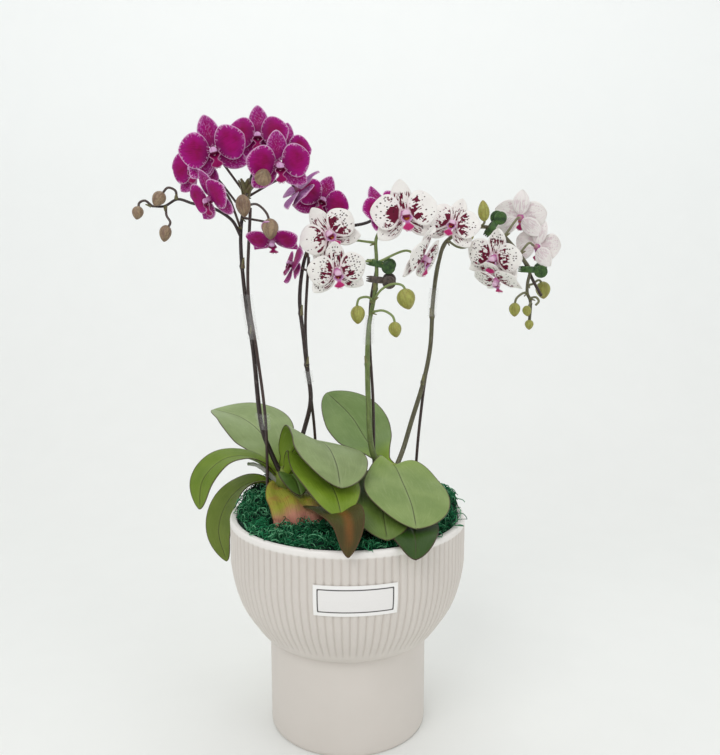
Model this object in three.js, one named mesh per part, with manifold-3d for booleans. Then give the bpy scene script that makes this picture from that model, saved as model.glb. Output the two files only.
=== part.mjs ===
// A potted miniature moth orchid: two plants, one with purple and one with spotted flowers,
// in a ribbed footed bowl. Millimetres, +Z up, the origin on the bowl's axis under its foot.
import * as THREE from 'three';
import { mergeVertices } from 'three/addons/utils/BufferGeometryUtils.js';
import Module from 'manifold-3d';

const wasm = await Module();
wasm.setup();

// Driving dimensions
const GAP = 0.35;
const POT_HEIGHT = 167;
const BOWL_RADIUS = 90;
const FOOT_RADIUS = 60.5;
const FOOT_TOP = 74;
const WALL = 4.5;
const FLOOR = 6;
const LIP_HEIGHT = 4;
const LABEL_MIDDLE = 130;
const FILL_SIDES = 20;
const RIB_COUNT = 96;
const RIB_DEPTH = 0.9;
const MEDIUM_TOP = 157;
const MOSS_EDGE = 168;
const MOSS_RISE = 13;
const MOSS_FRONT = 70;
const MOSS_EDGE_DROP = 2;
const MOSS_HEAPS = [
  { at: [78, 4], height: 11, spread: 26 },
  { at: [-68, 34], height: 10, spread: 30 },
];
const LEAF_THICKNESS = 1.8;
const PETAL_THICKNESS = 0.7;
const STAKE_RADIUS = 1.2;
const PEDICEL_RADIUS = 1;

// Cuts leave no edge shorter and no face flatter than this
const SHORT_EDGE = 0.02;
const FLAT_HEIGHT = 0.008;
const CLEAN_PASSES = 6;

const PURPLE_CROWN = [-50, 12];
const SPOTTED_CROWN = [34, 14];

// Height and outer radius of the bowl, from its foot to the lip
const BOWL_PROFILE = [
  [FOOT_TOP, FOOT_RADIUS],
  [77.5, 66.5],
  [86, 73],
  [103, 83],
  [LABEL_MIDDLE, BOWL_RADIUS - 0.3],
  [POT_HEIGHT - LIP_HEIGHT, BOWL_RADIUS],
];
const PLAIN_RINGS = 2;

// Materials
function finish(colour, roughness) {
  return new THREE.MeshStandardMaterial({ color: colour, roughness, metalness: 0 });
}

const finishes = {
  ceramic: finish(0xe4ddd6, 0.55),
  paper: finish(0xf4f2ee, 0.7),
  bark: finish(0x5a4331, 0.95),
  moss: finish(0x0f5a48, 0.95),
  leaf: finish(0x6f8f45, 0.45),
  oldLeaf: finish(0xa9a44f, 0.6),
  crown: finish(0x6c7f3a, 0.6),
  darkSpike: finish(0x40342c, 0.5),
  greenSpike: finish(0x71834a, 0.5),
  oliveSpike: finish(0x5f5f3e, 0.5),
  stake: finish(0x2e2a26, 0.5),
  clear: finish(0xc9c8c4, 0.25),
  darkClip: finish(0x4b4640, 0.45),
  greenClip: finish(0x2f6b33, 0.45),
  purple: finish(0x8f0f70, 0.5),
  spotted: finish(0xefe4e6, 0.5),
};

// Solids
function solidOf(geometry) {
  const plain = geometry.clone();
  plain.deleteAttribute('normal');
  plain.deleteAttribute('uv');
  const merged = mergeVertices(plain, 1e-4);
  const mesh = new wasm.Mesh({
    numProp: 3,
    vertProperties: Float32Array.from(merged.attributes.position.array),
    triVerts: Uint32Array.from(merged.index.array),
  });
  return new wasm.Manifold(mesh);
}

// Corners closer together than SHORT_EDGE become one
function withoutShortEdges(points, faces) {
  const kept = points.map((_, index) => index);
  const find = (index) => {
    let at = index;
    while (kept[at] !== at) at = kept[at];
    return at;
  };
  faces.forEach((face) => face.forEach((corner, k) => {
    const [a, b] = [find(corner), find(face[(k + 1) % 3])];
    if (a !== b && points[a].distanceTo(points[b]) < SHORT_EDGE) kept[Math.max(a, b)] = Math.min(a, b);
  }));
  const whole = faces.map((face) => face.map(find)).filter(([a, b, c]) => a !== b && b !== c && c !== a);
  const key = (face) => {
    const first = face.indexOf(Math.min(...face));
    return [0, 1, 2].map((k) => face[(first + k) % 3]).join();
  };
  const present = new Set(whole.map(key));
  return whole.filter(([a, b, c]) => !present.has(key([a, c, b])));
}

// A face whose corners are nearly in line trades its long edge with its neighbour
function withoutFlatFaces(points, faces) {
  const edges = new Map();
  const name = (a, b) => a * points.length + b;
  const enter = (face, index) => face.forEach((a, k) => edges.set(name(a, face[(k + 1) % 3]), index));
  const leave = (face) => face.forEach((a, k) => edges.delete(name(a, face[(k + 1) % 3])));
  faces.forEach(enter);
  faces.forEach((face, index) => {
    const reach = face.map((a, k) => points[a].distanceTo(points[face[(k + 1) % 3]]));
    const long = reach.indexOf(Math.max(...reach));
    const [a, b, c] = [0, 1, 2].map((k) => face[(long + k) % 3]);
    const height = (2 * new THREE.Triangle(points[a], points[b], points[c]).getArea()) / reach[long];
    if (height > FLAT_HEIGHT) return;
    const other = edges.get(name(b, a));
    if (other === undefined) return;
    const d = faces[other].find((corner) => corner !== a && corner !== b);
    if (d === c || edges.has(name(c, d)) || edges.has(name(d, c))) return;
    leave(face);
    leave(faces[other]);
    faces[index] = [c, a, d];
    faces[other] = [c, d, b];
    enter(faces[index], index);
    enter(faces[other], other);
  });
  return faces;
}

function geometryOf(solid) {
  const { vertProperties, triVerts, numProp } = solid.getMesh();
  const points = [];
  for (let at = 0; at < vertProperties.length; at += numProp) {
    points.push(new THREE.Vector3(...vertProperties.slice(at, at + 3)));
  }
  let faces = [];
  for (let at = 0; at < triVerts.length; at += 3) faces.push(Array.from(triVerts.slice(at, at + 3)));
  for (let pass = 0; pass < CLEAN_PASSES; pass += 1) {
    faces = withoutFlatFaces(points, withoutShortEdges(points, faces));
  }
  const corners = faces.flat();
  const used = [...new Set(corners)];
  const place = new Map(used.map((corner, index) => [corner, index]));
  const geometry = new THREE.BufferGeometry();
  const positions = used.flatMap((corner) => points[corner].toArray());
  geometry.setAttribute('position', new THREE.Float32BufferAttribute(positions, 3));
  geometry.setIndex(corners.map((corner) => place.get(corner)));
  return geometry;
}

function closedMesh(points, faces) {
  const geometry = new THREE.BufferGeometry();
  const positions = points.flatMap((p) => [p.x, p.y, p.z]);
  geometry.setAttribute('position', new THREE.Float32BufferAttribute(positions, 3));
  geometry.setIndex(faces.flat());
  return solidOf(geometry);
}

function joined(solids) {
  return solids.reduce((sum, solid) => sum.add(solid));
}

function largest(solid) {
  const bodies = solid.decompose();
  return bodies.reduce((best, body) => (body.volume() > best.volume() ? body : best));
}

function apart(a, b) {
  const p = a.boundingBox();
  const q = b.boundingBox();
  return [0, 1, 2].some((axis) => p.min[axis] > q.max[axis] || q.min[axis] > p.max[axis]);
}

// What is left of a solid clear of its neighbours' grown forms, without loose scraps
function clearOf(solid, grown) {
  const cut = grown.reduce((rest, other) => (apart(rest, other) ? rest : rest.subtract(other)), solid);
  return largest(cut);
}

const vector = (p) => new THREE.Vector3(...p);
const mix = (a, b, t) => a + (b - a) * t;
const smooth = (t) => t * t * (3 - 2 * t);

// Rows of a blade lie closer together towards its tip, so that its end is round
function rowPlace(row, rows) {
  return mix(row / rows, Math.sin((Math.PI / 2) * (row / rows)), 0.7);
}

// Adds a thin blade to a body's points and faces, open at its root, and returns the root's
// points on both sides. surface(s, u) is its middle face, s from root to tip, u from -1 to 1.
function addBlade(body, surface, rows, columns, thickness, grow) {
  const step = 0.004;
  const lastSlope = 0.96;
  const start = body.points.length;
  const layOut = (s, u, side) => {
    const at = Math.min(s, lastSlope);
    const along = surface(at + step, u).sub(surface(at, u)).normalize();
    const across = surface(at, u + step).sub(surface(at, u - step)).normalize();
    const normal = across.clone().cross(along).normalize();
    const p = surface(s, u).addScaledVector(normal, side * (thickness / 2 + grow));
    if (Math.abs(u) === 1) p.addScaledVector(across, u * grow);
    if (s === 0) p.addScaledVector(along, -grow);
    if (s === 1) p.addScaledVector(along, grow * 1.5);
    body.points.push(p);
  };
  for (const side of [1, -1]) {
    for (let i = 0; i < rows; i += 1) {
      for (let j = 0; j <= columns; j += 1) layOut(rowPlace(i, rows), (2 * j) / columns - 1, side);
    }
    layOut(1, 0, side);
  }
  const sheet = rows * (columns + 1) + 1;
  const at = ([i, j], low) => start + (i === rows ? sheet - 1 : i * (columns + 1) + j) + low * sheet;
  const pair = (a, b, c) => {
    body.faces.push([at(a, 0), at(b, 0), at(c, 0)], [at(a, 1), at(c, 1), at(b, 1)]);
  };
  for (let i = 0; i < rows - 1; i += 1) {
    for (let j = 0; j < columns; j += 1) {
      const [a, b, c, d] = [[i, j], [i, j + 1], [i + 1, j + 1], [i + 1, j]];
      if (j < columns / 2) {
        pair(a, b, c);
        pair(a, c, d);
      } else {
        pair(a, b, d);
        pair(b, c, d);
      }
    }
  }
  for (let j = 0; j < columns; j += 1) pair([rows - 1, j], [rows - 1, j + 1], [rows, 0]);
  const edge = [];
  for (let i = 0; i < rows; i += 1) edge.push([i, columns]);
  edge.push([rows, 0]);
  for (let i = rows - 1; i >= 0; i -= 1) edge.push([i, 0]);
  const root = [];
  for (let j = columns; j >= 0; j -= 1) root.push([0, j]);
  wall(body, edge.map((p) => at(p, 0)), edge.map((p) => at(p, 1)));
  return { front: root.map((p) => at(p, 0)), back: root.map((p) => at(p, 1)) };
}

// The side faces between a line of points on the front and the same line on the back
function wall(body, front, back) {
  for (let k = 0; k + 1 < front.length; k += 1) {
    body.faces.push([back[k], back[k + 1], front[k + 1]], [back[k], front[k + 1], front[k]]);
  }
}

function blade(surface, rows, columns, thickness, grow = 0) {
  const body = { points: [], faces: [] };
  const root = addBlade(body, surface, rows, columns, thickness, grow);
  wall(body, root.front.slice().reverse(), root.back.slice().reverse());
  return closedMesh(body.points, body.faces);
}

// A closed sheet from a front and a back grid of points, with its edges walled
function sheetBody(points, rows, columns) {
  const sheet = (rows + 1) * (columns + 1);
  const at = ([i, j], back) => i * (columns + 1) + j + back * sheet;
  const faces = [];
  for (let i = 0; i < rows; i += 1) {
    for (let j = 0; j < columns; j += 1) {
      const [a, b, c, d] = [[i, j], [i, j + 1], [i + 1, j + 1], [i + 1, j]];
      for (const [p, q, r] of [[a, b, c], [a, c, d]]) {
        faces.push([at(p, 0), at(q, 0), at(r, 0)], [at(p, 1), at(r, 1), at(q, 1)]);
      }
    }
  }
  const rim = [];
  for (let j = 0; j < columns; j += 1) rim.push([0, j]);
  for (let i = 0; i < rows; i += 1) rim.push([i, columns]);
  for (let j = columns; j > 0; j -= 1) rim.push([rows, j]);
  for (let i = rows; i > 0; i -= 1) rim.push([i, 0]);
  rim.forEach((a, k) => {
    const b = rim[(k + 1) % rim.length];
    faces.push([at(a, 1), at(b, 1), at(b, 0)], [at(a, 1), at(b, 0), at(a, 0)]);
  });
  return closedMesh(points, faces);
}

// A closed tube along a smooth curve; radius(t) gives its radius from 0 to 1
function tube(stops, radius, steps, sides, grow = 0) {
  const curve = new THREE.CatmullRomCurve3(stops.map(vector), false, 'centripetal');
  const frames = curve.computeFrenetFrames(steps, false);
  const points = [];
  for (let i = 0; i <= steps; i += 1) {
    const centre = curve.getPointAt(i / steps);
    if (i === 0) centre.addScaledVector(frames.tangents[i], -grow);
    if (i === steps) centre.addScaledVector(frames.tangents[i], grow);
    for (let k = 0; k < sides; k += 1) {
      const turn = (2 * Math.PI * k) / sides;
      const r = radius(i / steps) + grow;
      const p = centre.clone();
      p.addScaledVector(frames.normals[i], r * Math.cos(turn));
      p.addScaledVector(frames.binormals[i], r * Math.sin(turn));
      points.push(p);
    }
  }
  const faces = [];
  for (let i = 0; i < steps; i += 1) {
    for (let k = 0; k < sides; k += 1) {
      const next = (k + 1) % sides;
      const [a, b] = [i * sides + k, i * sides + next];
      faces.push([a, b, b + sides], [a, b + sides, a + sides]);
    }
  }
  for (let k = 1; k < sides - 1; k += 1) {
    faces.push([0, k + 1, k]);
    faces.push([steps * sides, steps * sides + k, steps * sides + k + 1]);
  }
  return closedMesh(points, faces);
}

// A round solid from a profile of [radius, height] that starts and ends on its axis
function turned(profile, sides, centre = [0, 0, 0]) {
  const geometry = new THREE.LatheGeometry(profile.map(([r, z]) => new THREE.Vector2(r, z)), sides);
  geometry.rotateX(Math.PI / 2);
  geometry.translate(...centre);
  return solidOf(geometry);
}

// A bud: an egg with a blunt tip, hanging or standing along a direction
function bud({ at, along, length, width }, grow = 0) {
  const geometry = new THREE.SphereGeometry(0.5, 5, 3);
  geometry.rotateX(Math.PI / 2);
  geometry.scale(width + 2 * grow, width + 2 * grow, length + 2 * grow);
  const upright = new THREE.Vector3(0, 0, 1);
  const turn = new THREE.Quaternion().setFromUnitVectors(upright, vector(along).normalize());
  geometry.applyQuaternion(turn);
  geometry.translate(...at);
  return solidOf(geometry);
}

// Pot
function bowlRadius(z) {
  const last = BOWL_PROFILE[BOWL_PROFILE.length - 1];
  if (z >= last[0]) return last[1];
  const above = BOWL_PROFILE.findIndex(([height]) => height > z);
  if (above < 1) return BOWL_PROFILE[0][1];
  const [z0, r0] = BOWL_PROFILE[above - 1];
  const [z1, r1] = BOWL_PROFILE[above];
  return mix(r0, r1, (z - z0) / (z1 - z0));
}

function cavityProfile(gap, top) {
  const inside = WALL + RIB_DEPTH + gap;
  const wall = BOWL_PROFILE.slice(PLAIN_RINGS).filter(([z]) => z < top - 1).map(([z, r]) => [r - inside, z]);
  return [
    [0, FLOOR + gap],
    [FOOT_RADIUS - inside, FLOOR + gap],
    [FOOT_RADIUS - inside, FOOT_TOP + 6],
    ...wall,
    [bowlRadius(top) - inside, top],
    [0, top],
  ];
}

function ribbedBowl() {
  const smoothSides = RIB_COUNT / 2;
  const rings = [{ z: 0, r: FOOT_RADIUS - 1, n: smoothSides }, { z: 1, r: FOOT_RADIUS, n: smoothSides }];
  BOWL_PROFILE.forEach(([z, r], index) => {
    if (index < PLAIN_RINGS) rings.push({ z, r, n: smoothSides });
    else rings.push({ z, r, n: 2 * RIB_COUNT, depth: RIB_DEPTH });
  });
  rings.push({ z: POT_HEIGHT - LIP_HEIGHT + 0.5, r: BOWL_RADIUS, n: smoothSides });
  rings.push({ z: POT_HEIGHT, r: BOWL_RADIUS - 0.3, n: smoothSides });
  const points = [];
  rings.forEach((ring) => {
    ring.start = points.length;
    for (let k = 0; k < ring.n; k += 1) {
      const turn = (2 * Math.PI * k) / ring.n;
      const r = ring.r - (k % 2 === 1 ? ring.depth ?? 0 : 0);
      points.push(new THREE.Vector3(r * Math.cos(turn), r * Math.sin(turn), ring.z));
    }
  });
  const faces = [];
  const at = (ring, k) => ring.start + (k % ring.n);
  for (let i = 0; i < rings.length - 1; i += 1) {
    const [low, high] = [rings[i], rings[i + 1]];
    const most = Math.max(low.n, high.n);
    const [stepLow, stepHigh] = [most / low.n, most / high.n];
    for (let k = 0; k < most; k += 1) {
      const [a, b] = [at(low, Math.floor(k / stepLow)), at(low, Math.ceil((k + 1) / stepLow))];
      const [c, d] = [at(high, Math.ceil((k + 1) / stepHigh)), at(high, Math.floor(k / stepHigh))];
      if (stepLow === 1) faces.push([a, b, d]);
      else if ((k + 1) % stepLow === 0) faces.push([a, b, c]);
      if (stepHigh === 1) faces.push(stepLow === 1 ? [b, c, d] : [a, c, d]);
      else if ((k + 1) % stepHigh === 0) faces.push([b, c, d]);
    }
  }
  const first = rings[0];
  const last = rings[rings.length - 1];
  for (let k = 1; k < first.n - 1; k += 1) faces.push([at(first, 0), at(first, k + 1), at(first, k)]);
  for (let k = 1; k < last.n - 1; k += 1) faces.push([at(last, 0), at(last, k), at(last, k + 1)]);
  return closedMesh(points, faces);
}

function pot() {
  const above = 5;
  const mouth = BOWL_RADIUS - WALL - RIB_DEPTH;
  const profile = cavityProfile(0, POT_HEIGHT - LIP_HEIGHT);
  profile.pop();
  const cavity = turned([...profile, [mouth, POT_HEIGHT + above], [0, POT_HEIGHT + above]], FILL_SIDES);
  return ribbedBowl().subtract(cavity);
}

// A bare paper label on the front of the bowl
const LABEL = { left: -22, right: 35, low: 122, high: 144, thickness: 0.6, columns: 6 };

function label() {
  const [from, to] = [LABEL.left, LABEL.right].map((x) => Math.asin(x / BOWL_RADIUS));
  const heights = [LABEL.low, LABEL_MIDDLE, LABEL.high];
  const { columns } = LABEL;
  const inner = (j, z) => {
    const turn = mix(from, to, j / columns);
    return new THREE.Vector3(Math.sin(turn), -Math.cos(turn), 0).multiplyScalar(bowlRadius(z) + GAP).setZ(z);
  };
  const points = [];
  for (const out of [LABEL.thickness, 0]) {
    heights.forEach((z) => {
      for (let j = 0; j <= columns; j += 1) {
        const p = inner(j, z);
        points.push(p.addScaledVector(new THREE.Vector3(p.x, p.y, 0).normalize(), out));
      }
    });
  }
  return sheetBody(points, heights.length - 1, columns);
}

// Moss: a woolly pile inside the lip, high at the sides and back and low in front of the
// leaves, its relief from three crossed waves
function mossHeight(x, y) {
  const edge = BOWL_RADIUS - WALL - RIB_DEPTH;
  const pile = 1 - (Math.hypot(x, y) / edge) ** 6;
  const behind = smooth(THREE.MathUtils.clamp((y + MOSS_FRONT) / MOSS_FRONT, 0, 1));
  const waves = Math.sin(x * 0.21 + y * 0.09) + Math.sin(y * 0.27 - x * 0.13) + Math.sin((x + y) * 0.33);
  const heaps = MOSS_HEAPS.reduce((sum, { at, height, spread }) => {
    const far = Math.hypot(x - at[0], y - at[1]) / spread;
    return sum + height * Math.exp(-far * far);
  }, 0);
  return MOSS_EDGE + MOSS_RISE * pile * mix(0.15, 1, behind) + waves + heaps;
}

function mossMound() {
  const sides = FILL_SIDES;
  const rings = 3;
  const edge = BOWL_RADIUS - WALL - RIB_DEPTH - 2 * GAP;
  const low = MEDIUM_TOP + GAP;
  const points = [new THREE.Vector3(0, 0, mossHeight(0, 0))];
  for (let i = 1; i <= rings; i += 1) {
    for (let k = 0; k < sides; k += 1) {
      const turn = (2 * Math.PI * k) / sides;
      const r = (edge * i) / rings;
      const [x, y] = [r * Math.cos(turn), r * Math.sin(turn)];
      points.push(new THREE.Vector3(x, y, mossHeight(x, y) - (i === rings ? MOSS_EDGE_DROP : 0)));
    }
  }
  const foot = points.length;
  for (let k = 0; k < sides; k += 1) {
    const turn = (2 * Math.PI * k) / sides;
    points.push(new THREE.Vector3(edge * Math.cos(turn), edge * Math.sin(turn), low));
  }
  points.push(new THREE.Vector3(0, 0, low));
  const faces = [];
  const at = (i, k) => 1 + (i - 1) * sides + (k % sides);
  for (let k = 0; k < sides; k += 1) {
    faces.push([0, at(1, k), at(1, k + 1)]);
    for (let i = 1; i < rings; i += 1) {
      faces.push([at(i, k), at(i + 1, k), at(i + 1, k + 1)], [at(i, k), at(i + 1, k + 1), at(i, k + 1)]);
    }
    const [a, b] = [foot + k, foot + ((k + 1) % sides)];
    faces.push([at(rings, k), a, b], [at(rings, k), b, at(rings, k + 1)], [a, foot + sides, b]);
  }
  return closedMesh(points, faces);
}

// Crowns: the short stem of each plant with its thick silvery roots
function crown([x, y], top, roots, grow = 0) {
  const profile = [[0, 132 - grow], [5 + grow, 132 - grow], [7 + grow, 160], [8 + grow, top - 14]];
  profile.push([6.5 + grow, top - 4], [3 + grow, top + grow], [0, top + grow]);
  const stem = turned(profile, 8, [x, y, 0]);
  const radius = (t) => 2.2 - 0.9 * t;
  return joined([stem, ...roots.map((stops) => tube(stops, radius, 4, 5, grow))]);
}

const CROWNS = [
  {
    name: 'crown_purple',
    at: PURPLE_CROWN,
    top: 200,
    roots: [
      [[-46, 8, 182], [-38, 0, 188], [-32, -8, 183], [-29, -12, 172], [-28, -13, 164]],
      [[-54, 10, 186], [-64, 6, 198], [-71, 4, 203], [-77, 3, 204]],
    ],
  },
  {
    name: 'crown_spotted',
    at: SPOTTED_CROWN,
    top: 202,
    roots: [[[39, 18, 182], [48, 26, 186], [56, 30, 178], [58, 31, 166]]],
  },
];

// Leaves. path runs from the crown to the tip, across is the direction over the blade at the
// root and at the tip, width is half of the blade's, fold lifts both halves from the midrib.
const LEAVES = [
  {
    name: 'leaf_purple_left',
    path: [[-56, 11, 191], [-66, 8, 202], [-80, 5, 209], [-96, 0, 207], [-110, -5, 193], [-113, -8, 171]],
    across: [[-0.2, 1, 0.2], [-0.92, 0.4, 0]],
    width: 14,
    fold: 0.3,
  },
  {
    name: 'leaf_purple_low_left',
    path: [
      [-56, 16, 181], [-68, 19, 185], [-84, 27, 179],
      [-100, 35, 161], [-107, 39, 137], [-101, 38, 112],
    ],
    across: [[-0.3, 1, 0.2], [-0.98, 0.2, 0]],
    width: 14,
    fold: 0.25,
  },
  {
    name: 'leaf_purple_back',
    path: [[-54, 18, 191], [-60, 28, 205], [-71, 44, 218], [-90, 62, 228], [-116, 76, 233]],
    across: [[0.98, 0.1, 0.1], [0.35, 0.9, 0.1]],
    width: 31,
    fold: 0.32,
  },
  {
    name: 'leaf_purple_front',
    path: [[-47, 12, 198], [-43, 13, 212], [-32, 6, 222], [-17, -11, 222], [-8, -36, 214], [-4, -61, 203]],
    across: [[-0.93, -0.1, 0.35], [-0.95, -0.1, 0.25]],
    width: 29,
    fold: 0.12,
  },
  {
    name: 'leaf_purple_under',
    path: [[-47, 8, 192], [-40, 2, 203], [-28, -12, 209], [-15, -36, 203], [-7, -56, 195], [-3, -69, 184]],
    across: [[-0.93, -0.1, 0.35], [-0.96, -0.1, 0.2]],
    width: 25,
    fold: 0.16,
  },
  {
    name: 'leaf_purple_small',
    path: [[-48, 4, 191], [-44, -8, 198], [-38, -20, 196], [-34, -29, 188]],
    across: [[-1, -0.1, 0.15], [-1, -0.2, 0.1]],
    width: 11,
    fold: 0.2,
  },
  {
    name: 'leaf_purple_cut',
    path: [[-50, 3, 180], [-44, -12, 186], [-37, -27, 185], [-33, -37, 176], [-32, -40, 165]],
    across: [[-1, -0.1, 0.1], [-1, -0.12, 0.05]],
    width: 21,
    fold: -0.12,
    cut: true,
    old: true,
  },
  {
    name: 'leaf_purple_old',
    path: [[-42, 4, 175], [-24, -24, 178], [-8, -54, 185], [2, -80, 185], [2, -99, 167]],
    across: [[-1, -0.3, 0], [-1, 0, -0.3]],
    width: 15,
    fold: 0.25,
    old: true,
  },
  {
    name: 'leaf_spotted_back',
    path: [[32, 15, 196], [23, 25, 205], [14, 40, 215], [2, 60, 230], [-19, 80, 247]],
    across: [[0.9, 0.35, 0.1], [0.88, 0.4, 0.25]],
    width: 27,
    fold: 0.25,
  },
  {
    name: 'leaf_spotted_front',
    path: [[34, 12, 196], [36, 0, 202], [41, -24, 196], [46, -50, 187], [48, -74, 178]],
    across: [[-1, 0, 0.15], [-0.97, 0, 0.2]],
    width: 32,
    fold: 0.14,
  },
  {
    name: 'leaf_spotted_middle',
    path: [[32, 8, 189], [28, -10, 193], [25, -34, 187], [26, -58, 181], [28, -80, 172]],
    across: [[-1, 0, 0.2], [-0.98, 0, 0.12]],
    width: 26,
    fold: 0.16,
  },
  {
    name: 'leaf_spotted_low',
    path: [[36, 8, 182], [41, -20, 180], [45, -54, 175], [47, -80, 172], [46, -95, 164]],
    across: [[-1, 0.1, 0.05], [-1, 0, 0]],
    width: 20,
    fold: 0.1,
  },
];
const LEAF_BELLY = 1.18;
const LEAF_ROUNDNESS = 0.62;

function leafSurface({ path, across, width, fold, cut }) {
  const curve = new THREE.CatmullRomCurve3(path.map(vector), false, 'centripetal');
  const [rootAcross, tipAcross] = across.map(vector);
  const rootFold = 0.85;
  return (s, u) => {
    const t = THREE.MathUtils.clamp(s, 0, 1);
    const centre = curve.getPointAt(t);
    const tangent = curve.getTangentAt(t);
    const over = rootAcross.clone().lerp(tipAcross, smooth(t));
    over.addScaledVector(tangent, -over.dot(tangent)).normalize();
    const up = over.clone().cross(tangent);
    const sheath = 0.3 * (1 - t);
    const round = Math.sin(Math.PI * t ** LEAF_BELLY) ** LEAF_ROUNDNESS;
    const torn = 0.55 + 0.45 * smooth(t);
    const half = width * (cut ? torn * (t > 0.99 ? 0.4 : 1) : Math.max(sheath, round));
    const angle = mix(rootFold, fold, smooth(Math.min(1, t * 2.5)));
    centre.addScaledVector(over, half * u * Math.cos(angle));
    centre.addScaledVector(up, half * Math.abs(u) * Math.sin(angle) - 0.1 * half * u * u);
    if (cut) centre.addScaledVector(up, 1.2 * Math.sin(u * 9));
    return centre;
  };
}

function leaf(spec, grow = 0) {
  return blade(leafSurface(spec), spec.cut ? 5 : 7, spec.cut ? 8 : 4, LEAF_THICKNESS, grow);
}

// Stakes, each bent to the flower stem beside it
const STAKES = [
  {
    name: 'stake_purple_left',
    path: [[-62, 3, 96], [-62, 3, 180], [-63, 4, 240], [-69, 6, 292], [-74.5, 6, 336], [-72, 8, 398]],
  },
  {
    name: 'stake_purple_right',
    path: [[-26, 40, 96], [-27, 40, 216], [-31, 40, 260], [-34, 40, 304], [-31, 41, 362]],
  },
  {
    name: 'stake_spotted_left',
    path: [[20, 13, 96], [20, 13, 244], [17, 13, 300], [18, 13, 330], [22, 14, 352]],
  },
  {
    name: 'stake_spotted_right',
    path: [
      [55, 34, 96], [55, 34, 192], [60, 34, 252], [65, 34, 290],
      [67, 34, 331], [71, 34.5, 359], [79, 35, 376],
      [88, 35, 381.5], [101, 35, 385], [111, 35, 384], [128, 35, 370.5],
      [138, 35, 359], [146, 34, 343], [152, 32, 332],
    ],
  },
];

function stake({ path }, grow = 0) {
  return tube(path, () => STAKE_RADIUS, Math.round(1.3 * path.length), 5, grow);
}

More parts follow.
